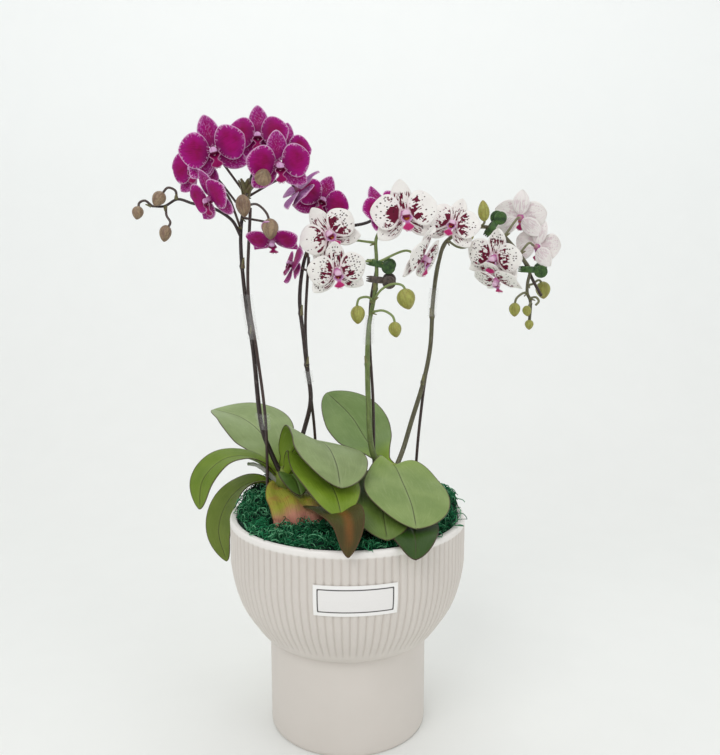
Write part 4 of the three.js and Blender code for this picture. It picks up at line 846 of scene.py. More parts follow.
def purple_look():
    look = Look("petal_purple", Roughness=0.55, Specular_IOR_Level=0.18)
    run, over, edge, side, share, u, seed, part, rim = look.values("spot", "form", "mark")
    cloud = look.noise((run * 0.12, over * 0.12, seed), 1.0, 3)
    vein = look.noise((run * 0.09, u * 9.0, seed), 1.6, 3)
    net = look.noise((run * 0.5, u * 7.0, seed), 1.6, 3)
    sepal = is_part(part, "sepal")
    colour = look.blend(cloud.rise(0.3, 0.7), rgb(146, 0, 80), rgb(168, 0, 114))
    colour = look.blend(edge.fall(1.5, 7.0) * 0.6, colour, rgb(172, 24, 142))
    colour = look.blend(vein.rise(0.5, 0.72) * 0.45, colour, rgb(108, 0, 54))
    colour = look.blend(share.fall(0.05, 0.4) * 0.5, colour, rgb(92, 0, 46))
    lines = net.rise(0.52, 0.62) * sepal * share.rise(0.2, 0.5)
    colour = look.blend(lines * 0.6, colour, rgb(214, 136, 206))
    ray = look.noise((rim * 15.0, edge * 0.25, seed), 1.5, 2)
    reach = ray.rise(0.5, 0.76) * 2.7
    pale = (edge - reach).fall(0.35, 0.8)
    colour = look.blend(pale * 0.8, colour, rgb(234, 190, 226))
    back = look.blend(vein.rise(0.4, 0.7), rgb(192, 134, 190), rgb(166, 84, 158))
    back = look.blend(edge.fall(0.3, 1.1) * 0.8, back, rgb(240, 218, 236))
    colour = look.blend(side * part.fall(1.4, 1.6), colour, back)
    throat = look.blend(net.rise(0.4, 0.6), rgb(84, 0, 44), rgb(150, 14, 88))
    lip = look.blend(share.rise(0.12, 0.5), throat, rgb(156, 8, 94))
    lip = look.blend(edge.fall(0.15, 0.6) * 0.55, lip, rgb(226, 176, 212))
    colour = look.blend(is_part(part, "lip"), colour, lip)
    column = look.blend(share.rise(0.5, 0.8), rgb(150, 30, 104), rgb(226, 176, 220))
    column = look.blend(net.rise(0.5, 0.62) * 0.45, column, rgb(160, 50, 124))
    column = look.blend(over.fall(-1.3, -0.4) * edge.rise(1.0, 2.2), column, rgb(96, 2, 52))
    column = look.blend(share.fall(0.2, 0.42), column, rgb(142, 92, 112))
    colour = look.blend(is_part(part, "column"), colour, column)
    colour = look.blend(is_part(part, "callus"), colour, rgb(214, 160, 182))
    translucent(look, colour, 0.15)
    return look.done(colour, vein + net * 0.5, 0.35, 0.35)


def spotted_look():
    look = Look("petal_spotted", Roughness=0.55, Specular_IOR_Level=0.25)
    run, over, edge, side, share, u, seed, part, _ = look.values("spot", "form", "mark")
    sepal = is_part(part, "sepal")
    petal_part = is_part(part, "petal")
    blade_part = part.fall(1.4, 1.6)
    cloud = look.noise((run * 0.1, over * 0.1, seed), 1.0, 3)
    vein = look.noise((run * 0.08, u * 9.0, seed), 1.6, 3)
    white = look.blend(cloud.rise(0.35, 0.75), rgb(252, 250, 245), rgb(246, 241, 238))
    white = look.blend(vein.rise(0.5, 0.8) * 0.15, white, rgb(228, 214, 214))
    blush = share.fall(0.02, 0.2) * 0.4
    colour = look.blend(blush, white, rgb(226, 150, 190))
    warp = look.noise((run * 0.6, over * 0.6, seed), 1.0, 2)
    patch = look.noise((run * 0.2, over * 0.36, seed), 1.0, 2)
    patch = warp * 0.24 + (patch - 0.12)
    near = patch - share * 0.3
    zone = share.band(0.07, 0.52, 0.05)
    blotch = near.rise(0.375, 0.4) * zone * edge.rise(1.4, 2.2) * petal_part
    stripe = look.noise((run * 0.14, over * 0.75, seed), 1.2, 2)
    stripe_zone = share.band(0.06, 0.6, 0.05) * edge.rise(1.0, 1.8) * sepal
    stripe = stripe.rise(0.49, 0.53) * stripe_zone
    marks = look.math("MAXIMUM", blotch, stripe)
    colour = look.blend(marks, colour, rgb(108, 4, 46))
    grid = (run * 0.42, over * 0.6, seed)
    far, pick = look.cells(grid, 1.0, randomness=0.6)
    chosen = pick.rise(0.34, 0.36)
    dot = far.fall(0.27, 0.33) * share.band(0.26, 0.84, 0.05)
    dots = dot * chosen * edge.rise(1.2, 1.8) * blade_part
    colour = look.blend(dots, colour, rgb(48, 2, 24))
    back = look.blend(vein.rise(0.4, 0.75), rgb(253, 250, 246), rgb(243, 232, 234))
    ghost = look.math("MAXIMUM", marks, dots) * 0.24
    back = look.blend(ghost, back, rgb(176, 100, 138))
    colour = look.blend(side * blade_part, colour, back)
    lobe = look.blend(share.rise(0.36, 0.62), rgb(206, 140, 200), rgb(196, 44, 116))
    throat = look.blend(patch.rise(0.45, 0.52), rgb(216, 124, 50), rgb(112, 20, 30))
    inside = share.fall(0.24, 0.42) * abs(u).fall(0.45, 0.7)
    lip = look.blend(inside, lobe, throat)
    lip = look.blend(edge.fall(0.2, 0.6) * 0.6, lip, rgb(240, 210, 226))
    colour = look.blend(is_part(part, "lip"), colour, lip)
    column = look.blend(share.rise(0.5, 0.85), rgb(196, 100, 166), rgb(238, 200, 226))
    column = look.blend(over.fall(-1.3, -0.4) * edge.rise(1.0, 2.2), column, rgb(126, 20, 60))
    column = look.blend(share.fall(0.2, 0.42), column, rgb(196, 150, 156))
    colour = look.blend(is_part(part, "column"), colour, column)
    colour = look.blend(is_part(part, "callus"), colour, rgb(226, 150, 62))
    translucent(look, colour, 0.14)
    return look.done(colour, vein, 0.35, 0.35)


# Pot
def bowl_line():
    """The bowl's outer line, (radius, height), as a smooth curve through its profile"""
    stops = [(r, 0, z) for z, r in BOWL_PROFILE]
    line = spline(stops, np.linspace(0, 1, 44))[:, [0, 2]]
    line[:, 0] = np.minimum(line[:, 0], BOWL_RADIUS)
    return line


BOWL_LINE = bowl_line()


def bowl_radius(z):
    return np.interp(z, BOWL_LINE[:, 1], BOWL_LINE[:, 0])


def pot():
    rib_start, rib_full, rib_end = 79, 89, POT_HEIGHT - LIP_HEIGHT - 0.8
    inside = INSIDE_RADIUS
    foot_inside = FOOT_RADIUS - WALL - RIB_DEPTH

    def ribs(turn, z, r):
        if not rib_start < z < rib_end + 0.1 or r < bowl_radius(z) - 1:
            return 0
        depth = RIB_DEPTH * smooth((z - rib_start) / (rib_full - rib_start))
        return depth * (np.abs(np.cos(turn * RIB_COUNT / 2)) ** 0.75 - 1)

    top = POT_HEIGHT
    outer = [(0, 0), (30, 0), (57.5, 0), (59.6, 0.5), (60.3, 1.6)]
    outer += [(FOOT_RADIUS, z) for z in np.linspace(4, FOOT_TOP - 1.5, 12)]
    outer += [(r, z) for r, z in BOWL_LINE[:-1]]
    outer += [(BOWL_RADIUS, rib_end), (BOWL_RADIUS, rib_end + 0.8), (BOWL_RADIUS, rib_end + 2.6)]
    outer += [(BOWL_RADIUS - 0.2, top - 0.9), (BOWL_RADIUS - 0.8, top - 0.2), (BOWL_RADIUS - 1.6, top)]
    inner = [(inside + 1.4, top), (inside + 0.4, top - 0.4), (inside, top - 1.4), (inside, 150)]
    inner += [(84 - WALL, 125), (83 - WALL - RIB_DEPTH, 103), (73 - WALL - RIB_DEPTH, 86)]
    inner += [(foot_inside, FOOT_TOP + 6), (foot_inside, 40), (foot_inside, FLOOR + 2)]
    inner += [(foot_inside - 2, FLOOR), (30, FLOOR), (0, FLOOR)]
    body = Body()
    turned(body, outer + inner, 8 * RIB_COUNT, shift=ribs)
    body.piece("pot_body", ceramic_look(), "pot", "pot_ceramic", crease=50)


def label():
    columns, rows = 60, 26
    across = np.linspace(LABEL["left"], LABEL["right"], columns + 1)
    heights = np.linspace(LABEL["low"], LABEL["high"], rows + 1)
    x, z = np.meshgrid(across, heights)
    turn = np.arcsin(x / BOWL_RADIUS)
    half = LABEL["thickness"] / 2
    r = bowl_radius(z) + 0.2 + half
    middle = np.stack([r * np.sin(turn), -r * np.cos(turn), z], -1)
    inset = np.minimum.reduce([x - LABEL["left"], LABEL["right"] - x, z - LABEL["low"], LABEL["high"] - z])
    spot = stacked(x, z, inset)
    body = Body()
    sheet(body, middle, np.full(x.shape, half), spot, np.zeros_like(spot), np.zeros(3))
    body.piece("label_sheet", paper_look(), "label", "label_paper", crease=40)


# Growing medium and moss
STRAND_ROOM = 2.4


def growing_medium():
    gap = WALL + RIB_DEPTH + GAP
    profile = [(0, FLOOR + GAP), (FOOT_RADIUS - gap - 1, FLOOR + GAP), (FOOT_RADIUS - gap, FLOOR + 2)]
    profile += [(FOOT_RADIUS - gap, z) for z in (20, 40, 60, FOOT_TOP + 5)]
    profile += [(bowl_radius(z) - gap - 2, z) for z in (90, 105, 120, 135, 148)]
    profile += [(BOWL_RADIUS - gap - 2, MEDIUM_TOP - 3)]
    profile += [(r, MEDIUM_TOP - 1) for r in np.linspace(BOWL_RADIUS - gap - 3, 4, 22)]
    profile += [(0, MEDIUM_TOP - 1)]
    body = Body()
    turned(body, profile, 96)
    points = body.points[0]
    x, y, z = points.T
    chips = np.sin(x * 0.9) * np.cos(y * 0.8) + np.sin(x * 0.37 + y * 0.5)
    top = z > MEDIUM_TOP - 1.5
    points[top, 2] += 0.45 * chips[top] - 0.6
    body.piece("bark_chips", bark_look(), "growing_medium", "growing_medium")


def moss_height(x, y):
    edge = INSIDE_RADIUS
    pile = 1 - (np.hypot(x, y) / edge) ** 6
    behind = smooth((y + MOSS_FRONT) / MOSS_FRONT)
    waves = np.sin(x * 0.21 + y * 0.09) + np.sin(y * 0.27 - x * 0.13) + np.sin((x + y) * 0.33)
    heaps = 0
    for heap in MOSS_HEAPS:
        far = np.hypot(x - heap["at"][0], y - heap["at"][1]) / heap["spread"]
        heaps = heaps + heap["height"] * np.exp(-far * far)
    return MOSS_EDGE + MOSS_RISE * pile * mix(0.15, 1, behind) + waves + heaps


def lowered(x, y, z, room):
    """A height kept under every leaf that passes over it"""
    for k, point in enumerate(zip(x, y)):
        for _, index, _ in LEAF_TREE.find_range((point[0], point[1], 0), 2.6):
            z[k] = min(z[k], LEAF_POINTS[index][2] - room)
    return z


def moss():
    base = Body()
    edge = INSIDE_RADIUS - 2 * GAP
    rings, sides = 34, 120
    turn = turns(sides)
    grid = []
    for r in np.linspace(edge, edge / rings, rings):
        x, y = r * np.cos(turn), r * np.sin(turn)
        rough = 0.8 * np.sin(x * 1.1 + 2 * np.sin(y * 0.7)) * np.cos(y * 1.2)
        z = moss_height(x, y) - 2.2 + rough
        z = np.maximum(lowered(x, y, z, 2.2), MEDIUM_TOP + 3)
        grid.append(np.stack([x, y, z], -1))
    foot = stacked(edge * np.cos(turn), edge * np.sin(turn), MEDIUM_TOP + GAP)
    loft(base, [foot, *grid], (0, 0, MEDIUM_TOP + GAP), (0, 0, moss_height(0, 0) - 3))
    shade = moss_look("moss_bed", rgb(5, 30, 22), rgb(9, 52, 38), rgb(14, 70, 50))
    look = moss_look("moss_wool", rgb(22, 86, 50), rgb(40, 132, 86), rgb(116, 190, 142))
    base.piece("moss_bed", shade, "moss", "moss")
    strands = moss_strands()
    share = len(strands) // 2
    for name, group in (("moss_curls_a", strands[:share]), ("moss_curls_b", strands[share:])):
        curls = Body()
        for path, radius, seed in group:
            tube(curls, path, radius, 3, mark=(seed, 0, 0), tip=0.3)
        curls.piece(name, look, "moss", "moss")


def moss_strands():
    """Curly fibres over the pile, as (path, radius, seed), clear of leaves and stems"""
    count = 4300
    steps, length = 13, 1.25
    edge = INSIDE_RADIUS - 2.2
    kept = []
    for _ in range(count):
        r = edge * math.sqrt(RANDOM.uniform(0, 1.04))
        turn = RANDOM.uniform(0, 2 * math.pi)
        r = min(r, edge + 0.8)
        at = np.array([r * math.cos(turn), r * math.sin(turn), 0])
        at[2] = moss_height(at[0], at[1]) - 2.5 + RANDOM.uniform(0, 2.2)
        heading = unit(RANDOM.normal(size=3) * [1, 1, 0.5])
        swing = unit(RANDOM.normal(size=3))
        bend = RANDOM.uniform(0.35, 0.95)
        path = [at]
        for _ in range(steps):
            swing = unit(swing + 0.55 * RANDOM.normal(size=3))
            heading = unit(heading + bend * np.cross(swing, heading))
            lift = path[-1][2] - moss_height(path[-1][0], path[-1][1])
            heading[2] -= 0.28 * max(0.0, lift - 0.6)
            heading[2] += 0.3 * max(0.0, -lift - 2.6)
            heading = unit(heading)
            point = path[-1] + heading * length
            far = math.hypot(point[0], point[1])
            if far > edge and point[2] < POT_HEIGHT + 0.8:
                point[:2] *= edge / far
            path.append(point)
        path = np.array(path)
        if clear_of_plants(path):
            radius = RANDOM.uniform(0.28, 0.46) * np.sin(np.linspace(0.35, np.pi - 0.35, len(path))) ** 0.4
            kept.append((path, radius, RANDOM.uniform()))
    return kept


def clear_of_plants(path):
    for point in path[::2]:
        x, y, z = point
        near = any((x - cx) ** 2 + (y - cy) ** 2 < reach * reach for cx, cy, reach in STEM_SPOTS)
        _, index, _ = LEAF_TREE3.find(point)
        if z < MEDIUM_TOP + 2 or near or np.linalg.norm(LEAF_POINTS[index] - point) < STRAND_ROOM:
            return False
    return True


# Crowns and roots
def crowns():
    look = root_look()
    for crown in CROWNS:
        body = Body()
        x, y = crown["at"]
        top = crown["top"]
        profile = [
            (0, 132), (4, 132), (5, 134), (6.4, 148), (7, 160), (7.6, 172), (8, top - 14), (7.4, top - 8)
        ]
        profile += [(6.5, top - 4), (5, top - 1.2), (3, top - 0.2), (0, top)]

        def folds(turn, z, r):
            return -0.35 * (1 + np.sin(2 * turn + z * 0.05))

        turned(body, profile, 40, centre=(x, y), shift=folds)
        for k, stops in enumerate(crown["roots"]):
            path = spaced(stops, 1.0)
            t = np.linspace(0, 1, len(path))
            radius = 2.2 - 0.9 * t + 0.12 * np.sin(t * 37 + k)
            tube(body, path, radius, 14, mark=(k, 1, 0))
        body.piece(crown["name"] + "_body", look, crown["name"], "crown")


# Leaves, and how far the torn end of the cut one is bitten back over its width
LEAF_BELLY = 1.18
LEAF_ROUNDNESS = 0.62
ROOT_FOLD = 0.85
TORN_OVER = [-1, -0.72, -0.5, -0.3, -0.05, 0.1, 0.35, 0.55, 0.75, 1]
TORN_BACK = [7, 2.2, 1.2, 2, 5.2, 2.4, 4.8, 1.6, 0.2, 2.5]


def leaf_grid(spec, rows, columns):
    """The middle points of a leaf, its half width by row, and the shares along and across"""
    flat = np.linspace(0, 1, rows + 1)
    s = mix(flat, np.sin(np.pi / 2 * flat), 0.7) * 0.9992
    u = np.linspace(-1, 1, columns + 1)
    centre = spline(spec["path"], s)
    before, after = (spline(spec["path"], np.clip(s + step, 0, 1)) for step in (-0.004, 0.004))
    tangent = unit(after - before)
    root, tip = (np.array(a, float) for a in spec["across"])
    over = root + (tip - root) * smooth(s)[:, None]
    over = unit(over - tangent * (over * tangent).sum(-1, keepdims=True))
    up = np.cross(over, tangent)
    cut = spec.get("cut", False)
    torn = mix(0.7, 1, smooth(2 * s))
    whole = np.maximum(0.3 * (1 - s), np.sin(np.pi * s**LEAF_BELLY) ** LEAF_ROUNDNESS)
    half = spec["width"] * (torn if cut else whole)
    angle = mix(spec.get("root_fold", ROOT_FOLD), spec["fold"], smooth(np.minimum(1, s * 2.5)))
    ridge = np.sqrt(u * u + 0.0016) - 0.04
    wave = 0.25 * np.sin(s[:, None] * 11 + spec["width"]) * u**3
    middle = centre[:, None] + over[:, None] * (half * np.cos(angle))[:, None, None] * u[:, None]
    lift = half[:, None] * (ridge * np.sin(angle)[:, None] - 0.1 * u * u) + wave
    if cut:
        lift = lift + 1.2 * np.sin(u * 9) * (0.6 + 0.4 * s[:, None])
        back = np.interp(u, TORN_OVER, TORN_BACK) * smooth((s - 0.55) / 0.45)[:, None]
        middle = middle - tangent[:, None] * back[..., None]
    return middle + up[:, None] * lift[..., None], half, s, u


def leaf_spot(middle, half, u, cut=False):
    """(along, across, from the edge) of each point of a leaf or petal"""
    run = lengths(middle[:, len(u) // 2])
    rim = [middle[:, 0], middle[:, -1]]
    if cut:
        rim.append(middle[-1])
    rim = np.concatenate(rim)
    far = np.linalg.norm(middle.reshape(-1, 1, 3) - rim[None], axis=-1).min(1).reshape(middle.shape[:2])
    return stacked(run[:, None], half[:, None] * u, far)


def leaves():
    under = (rgb(98, 124, 34), rgb(116, 142, 52))
    base = rgb(138, 166, 44)
    tops = {
        "leaf_purple_left": (rgb(98, 124, 30), rgb(112, 136, 42), rgb(136, 154, 70)),
        "leaf_purple_low_left": (rgb(96, 116, 32), rgb(108, 126, 44), rgb(130, 146, 68)),
        "leaf_purple_back": (rgb(130, 149, 94), rgb(144, 163, 108), rgb(166, 181, 132)),
        "leaf_purple_front": (rgb(126, 143, 90), rgb(140, 158, 104), rgb(162, 176, 130)),
        "leaf_purple_under": (rgb(112, 140, 34), rgb(124, 150, 44), rgb(146, 166, 66)),
        "leaf_purple_small": (rgb(70, 102, 32), rgb(86, 118, 42), rgb(110, 136, 66)),
        "leaf_spotted_back": (rgb(104, 131, 68), rgb(118, 143, 80), rgb(140, 160, 102)),
        "leaf_spotted_front": (rgb(121, 144, 78), rgb(136, 157, 92), rgb(158, 175, 116)),
        "leaf_spotted_middle": (rgb(88, 112, 44), rgb(102, 126, 56), rgb(128, 148, 84)),
        "leaf_spotted_low": (rgb(32, 64, 4), rgb(44, 76, 12), rgb(66, 94, 30)),
    }
    looks = {name: leaf_look(name + "_skin", top, under, base) for name, top in tops.items()}
    looks["leaf_purple_cut"] = old_leaf_look(
        "leaf_cut_skin", (rgb(158, 160, 52), rgb(166, 126, 58), rgb(204, 136, 118)), (0.6, 0.9)
    )
    looks["leaf_purple_old"] = old_leaf_look(
        "leaf_old_skin", (rgb(70, 80, 18), rgb(76, 66, 18), rgb(66, 58, 18)), (0.5, 0.9), 0.5
    )
    for spec in LEAVES:
        body = Body()
        middle, half, s, u = leaf_grid(spec, 56, 28)
        spot = leaf_spot(middle, half, u, spec.get("cut", False))
        thick = LEAF_THICKNESS / 2 * (1 - 0.72 * np.abs(u) ** 4) * (1 - 0.5 * s[:, None] ** 6)
        form = stacked(0.0, s[:, None], u[None])
        sheet(body, middle, thick, spot, form, np.zeros(3))
        slot = "leaf_old" if spec.get("old") else "leaf"
        body.piece(spec["name"] + "_blade", looks[spec["name"]], spec["name"], slot, crease=70)


# Stakes
def stakes():
    look = wire_look()
    for spec in STAKES:
        body = Body()
        tube(body, spaced(spec["path"], 1.6), STAKE_RADIUS, 16, tip=0.4)
        body.piece(spec["name"] + "_wire", look, spec["name"], "stake")


# Flower stems
FLOWER_BACK = 6
STALK_RUN = 8


def nearest(points, place):
    return points[np.linalg.norm(points - place, axis=1).argmin()]


def scale_leaf(body, at, along, out, length, width, seed):
    """A small pointed bract that clasps a stem"""
    along, out = direction(along), direction(out)
    over = unit(np.cross(along, out))
    out = np.cross(over, along)
    t = np.linspace(0, 1, 8)[:, None]
    u = np.linspace(-1, 1, 7)[None]
    half = width * (1 - t**1.6) ** 0.7
    bow = np.sqrt(np.maximum(0, 1 - 0.75 * u * u))
    middle = at + along * (length * t)[..., None] + over * (half * u)[..., None]
    middle = middle + out * (width * bow + 0.18 * length * t * t)[..., None]
    thick = np.full(middle.shape[:2], 0.16)
    mark = (seed, PART_CODE["bract"], 0)
    sheet(body, middle, thick, np.zeros(middle.shape), stacked(0.0, t, u), mark)


def bract_bundle(body, item):
    """Pointed bracts that wrap one another in a loose spear"""
    axis, side, up = axes(item["along"])
    foot = item["at"] - axis * item["length"] / 2
    core = foot + axis * np.linspace(0, item["length"] * 0.8, 12)[:, None]
    radius = item["width"] * 0.24 * np.sin(np.linspace(1, 2.9, 12))
    tube(body, core, radius, 10, mark=(0, PART_CODE["bract"], 0))
    for k in range(item["bracts"]):
        turn = 2.4 * k
        out = side * math.cos(turn) + up * math.sin(turn)
        start = foot + axis * (0.6 + 1.1 * k) - out * item["width"] * 0.1
        along = axis + (0.3 + 0.1 * (k % 3)) * out
        length = item["length"] * (0.74 - 0.045 * k)
        scale_leaf(body, start, along, out, length, item["width"] * 0.3, k)


def bud(body, at, along, length, width, mark):
    """A closed bud: an egg with a blunt end and three soft seams, its tip along its direction"""
    axis, side, up = axes(along)
    t = (1 - np.cos(np.linspace(0.12, np.pi - 0.1, 18))) / 2
    turn = turns(24)
    radius = width / 2 * np.sin(np.pi * t**0.82) ** 0.62
    seam = 1 - 0.05 * np.abs(np.cos(1.5 * turn)) ** 6
    out = side * np.cos(turn)[:, None] + up * np.sin(turn)[:, None]
    centre = at + axis * ((t - 0.5) * length)[:, None]
    rings = centre[:, None] + out[None] * (radius[:, None] * seam[None])[..., None]
    form = stacked(0.0, t[:, None], (turn / (2 * np.pi))[None])
    loft(body, rings, at - axis * length / 2, at + axis * length / 2, form=form, mark=mark)


def spikes():
    dark = stem_look("spike_dark", rgb(54, 40, 38), rgb(32, 22, 22), rgb(100, 82, 74), painted_glint=0.25)
    green = stem_look("spike_green", rgb(108, 126, 66), rgb(84, 98, 52), rgb(150, 166, 104), painted_glint=0.1)
    olive = stem_look("spike_olive", rgb(98, 96, 70), rgb(68, 60, 48), rgb(142, 144, 104), painted_glint=0.15)
    tan = bud_look("bud_tan", rgb(160, 138, 108), rgb(122, 96, 80), rgb(108, 88, 62))
    lime = bud_look("bud_green", rgb(168, 170, 84), rgb(136, 136, 60), rgb(140, 122, 62))
    looks = {
        "dark": (dark, "spike_dark", tan),
        "green": (green, "spike_green", lime),
        "olive": (olive, "spike_olive", lime),
    }
    for spec in SPIKES:
        stem_material, slot, bud_material = looks[spec["finish"]]
        body, buds = Body(), Body()
        stem = spaced(spec["stem"], 1.2)
        t = np.linspace(0, 1, len(stem))
        radius = mix(2.5 if spec["finish"] == "green" else 2.0, 1.2, t)
        for ring in spec["rings"]:
            far = np.linalg.norm(stem - ring, axis=1)
            radius = radius + 0.65 * np.exp(-((far / 1.5) ** 2))
        tube(body, stem, radius, 16)
        lines = [stem]
        for ring in spec["rings"]:
            at = nearest(stem, ring)
            k = np.linalg.norm(stem - at, axis=1).argmin()
            along = stem[min(k + 2, len(stem) - 1)] - stem[max(k - 2, 0)]
            out = [0.8, -0.6, 0] if spec["finish"] == "dark" else [-0.7, -0.7, 0]
            scale_leaf(body, at - unit(along) * 1.5, along, out, 8, 1.9, 3)
        for branch in spec["branches"]:
            path = spaced([nearest(stem, branch[0]), *branch[1:]], 1.0)
            tube(body, path, mix(1.3, 0.9, np.linspace(0, 1, len(path))), 12)
            lines.append(path)
        paths = list(spec["stalks"])
        for item in spec["flowers"]:
            back = -direction(item["faces"])
            end = item["middle"] + back * (FLOWER_BACK * item["size"] + 0.2)
            paths.append([item["from"], end + back * STALK_RUN, end])
        every = np.vstack(lines)
        for path in paths:
            root = nearest(every, path[0])
            line = spaced([root, *path[1:]], 0.9)
            share = np.linspace(0, 1, len(line))
            radius = PEDICEL_RADIUS * (0.92 + 0.22 * np.exp(-((share - 0.02) / 0.1) ** 2))
            tube(body, line, radius, 10, mark=(0, PART_CODE["stalk"], 0))
            k = np.linalg.norm(every - root, axis=1).argmin()
            way = unit(line[min(4, len(line) - 1)] - line[0])
            scale_leaf(body, root + way * 0.4, way + [0, 0, -0.2], [0, -0.4, -1], 4.2, 1.5, k)
        for k, item in enumerate(spec["buds"]):
            if item["bracts"]:
                bract_bundle(body, item)
            else:
                bud(buds, item["at"], item["along"], item["length"], item["width"], (k * 1.7, 0, 0))
        body.piece(spec["name"] + "_stem", stem_material, spec["name"], slot, crease=75)
        if spec["buds"]:
            buds.piece(spec["name"] + "_buds", bud_material, spec["name"], slot)


# Blooms
HUB_RADIUS = 3.2
COLUMN_FOOT = -6
COLUMN_TOP = 7.2
COLUMN_SPAN = 13
LIP = {"half": 3.0, "wave": 1.3, "lobe": 0.15, "pitch": 0.645}
COLUMN_LINE = [
    (0.8, -5.6), (1.1, -4.6), (1.5, -3.4), (2.1, -2.1), (2.9, -0.9), (3.3, 0.1), (3.1, 1.2), (2.7, 2.3),
    (2.5, 3.5), (2.6, 4.6), (2.8, 5.5), (2.6, 6.3), (1.9, 6.8), (0.9, 7.1),
]


def petal(body, part, seed, ruffle):
    kind = KINDS[part["kind"]]
    angle = math.radians(part["turn"])
    out = np.array([math.cos(angle), math.sin(angle), 0])
    over = np.array([math.sin(angle), -math.cos(angle), 0])
    rows, columns = (26, 18) if part["kind"] == "petal" else (24, 12)
    flat = np.linspace(0, 1, rows + 1)
    t = (mix(flat, np.sin(np.pi / 2 * flat), 0.75) * 0.9993)[:, None]
    u = np.linspace(-1, 1, columns + 1)[None]
    half = np.maximum(kind["root"] * (1 - t), kind["width"] * np.sin(np.pi * t**0.9) ** 0.6)
    run = HUB_RADIUS - 0.6 + (kind["length"] + 0.5) * t
    cup = kind["cup"]
    z = kind["rise"] + cup * 2 * np.sin(np.pi * t * 0.6) - cup * 2.2 * t * t - 0.8 * u * u * t
    z = z + ruffle * 0.5 * np.sin(5.2 * t + 2.4 * u + seed) * (t * u * u + 0.4 * t * t)
    z = z - 0.35 * np.exp(-((u * half / 1.1) ** 2)) * np.sin(np.pi * t)
    flatly = stacked(run, half * u, 0 * (t + u))
    middle = out * flatly[..., :1] + over * flatly[..., 1:2] + stacked(0 * z, 0 * z, z)
    spot = leaf_spot(flatly, half[:, 0], u[0])
    spot[..., 0] = run
    thick = PETAL_THICKNESS / 2 * (1.05 - 0.55 * np.abs(u) ** 3) * (1 - 0.35 * t**4)
    form = stacked(0.0, t, u)
    rim = np.arctan2(half * u, run - kind["length"] * 0.5 - HUB_RADIUS)
    mark = stacked(seed + part["turn"] * 0.05, PART_CODE[part["kind"]], rim)
    sheet(body, middle, np.broadcast_to(thick, middle.shape[:2]), spot, form, mark)


def lip(body, seed):
    flat = np.linspace(0, 1, 23)
    t = (mix(flat, np.sin(np.pi / 2 * flat), 0.6) * 0.998)[:, None]
    u = np.linspace(-1, 1, 15)[None]
    half = LIP["half"] + LIP["wave"] * np.cos(2 * np.pi * (t - LIP["lobe"]) / LIP["pitch"])
    half = half * np.sqrt(np.maximum(0, 1 - (np.maximum(0, t - 0.8) / 0.2) ** 2))
    lift = 3.6 * np.maximum(0, 1 - 2.2 * t) + 0.5
    z = 1.5 + 4.5 * np.sin(np.pi * t * 0.7) + lift * np.abs(u) ** 1.6 - 0.4 * np.exp(-((u / 0.25) ** 2))
    middle = stacked(-half * u, -1.2 - 10.5 * t, z)
    spot = leaf_spot(middle, half[:, 0], u[0])
    form = stacked(0.0, t, u)
    mark = (seed, PART_CODE["lip"], 0)
    sheet(body, middle, np.full(z.shape, 0.3), spot, form, mark)
    for side in (-1, 1):
        stops = [(0, -11.5, 5), (1.1, -12.2, 5.7), (2.2, -11.7, 6.6), (2.4, -10.9, 6.4)]
        path = spaced([(side * x, y, z) for x, y, z in stops], 0.4)
        tube(body, path, np.linspace(0.32, 0.12, len(path)), 6, mark=mark)
    callus = spaced([(0, -1.6, 2.6), (0, -2.6, 4.0), (0, -3.4, 4.3)], 0.4)
    radius = 0.9 * np.sin(np.linspace(0.5, 2.7, len(callus)))
    tube(body, callus, radius, 10, mark=(seed, PART_CODE["callus"], 0))


def bloom(spec, look, slot):
    body = Body()
    seed = RANDOM.uniform(0, 40)
    for part in PARTS:
        petal(body, part, seed, RANDOM.uniform(0.6, 1.2))
    lip(body, seed)
    column = Body()
    turned(column, [(0, COLUMN_FOOT), *COLUMN_LINE, (0, COLUMN_TOP)], 24)
    points = column.points[0]
    form = stacked(0.0, (points[:, 2] - COLUMN_FOOT) / COLUMN_SPAN, 0.0)
    body.add(points, column.faces, spot=points, form=form, mark=(seed, PART_CODE["column"], 0))
    z = direction(spec["faces"])
    x = unit(np.cross([0, 0, 1], z))
    y = np.cross(z, x)
    roll = math.radians(spec["turn"])
    right = math.cos(roll) * x + math.sin(roll) * y
    top = math.cos(roll) * y - math.sin(roll) * x
    body.move(np.stack([right, top, z], -1) * spec["size"], spec["middle"])
    body.piece(spec["name"] + "_flower", look, spec["name"], slot)


def blooms():
    looks = {"purple": (purple_look(), "petal_purple"), "spotted": (spotted_look(), "petal_spotted")}
    for spike in SPIKES:
        colour = "purple" if "purple" in spike["name"] else "spotted"
        for spec in spike["flowers"]:
            bloom(spec, *looks[colour])


# Sleeves and clips
def point_at_height(stops, z):
    line = spline(stops, np.linspace(0, 1, 400))
    return line[np.argmax(line[:, 2] >= z)]


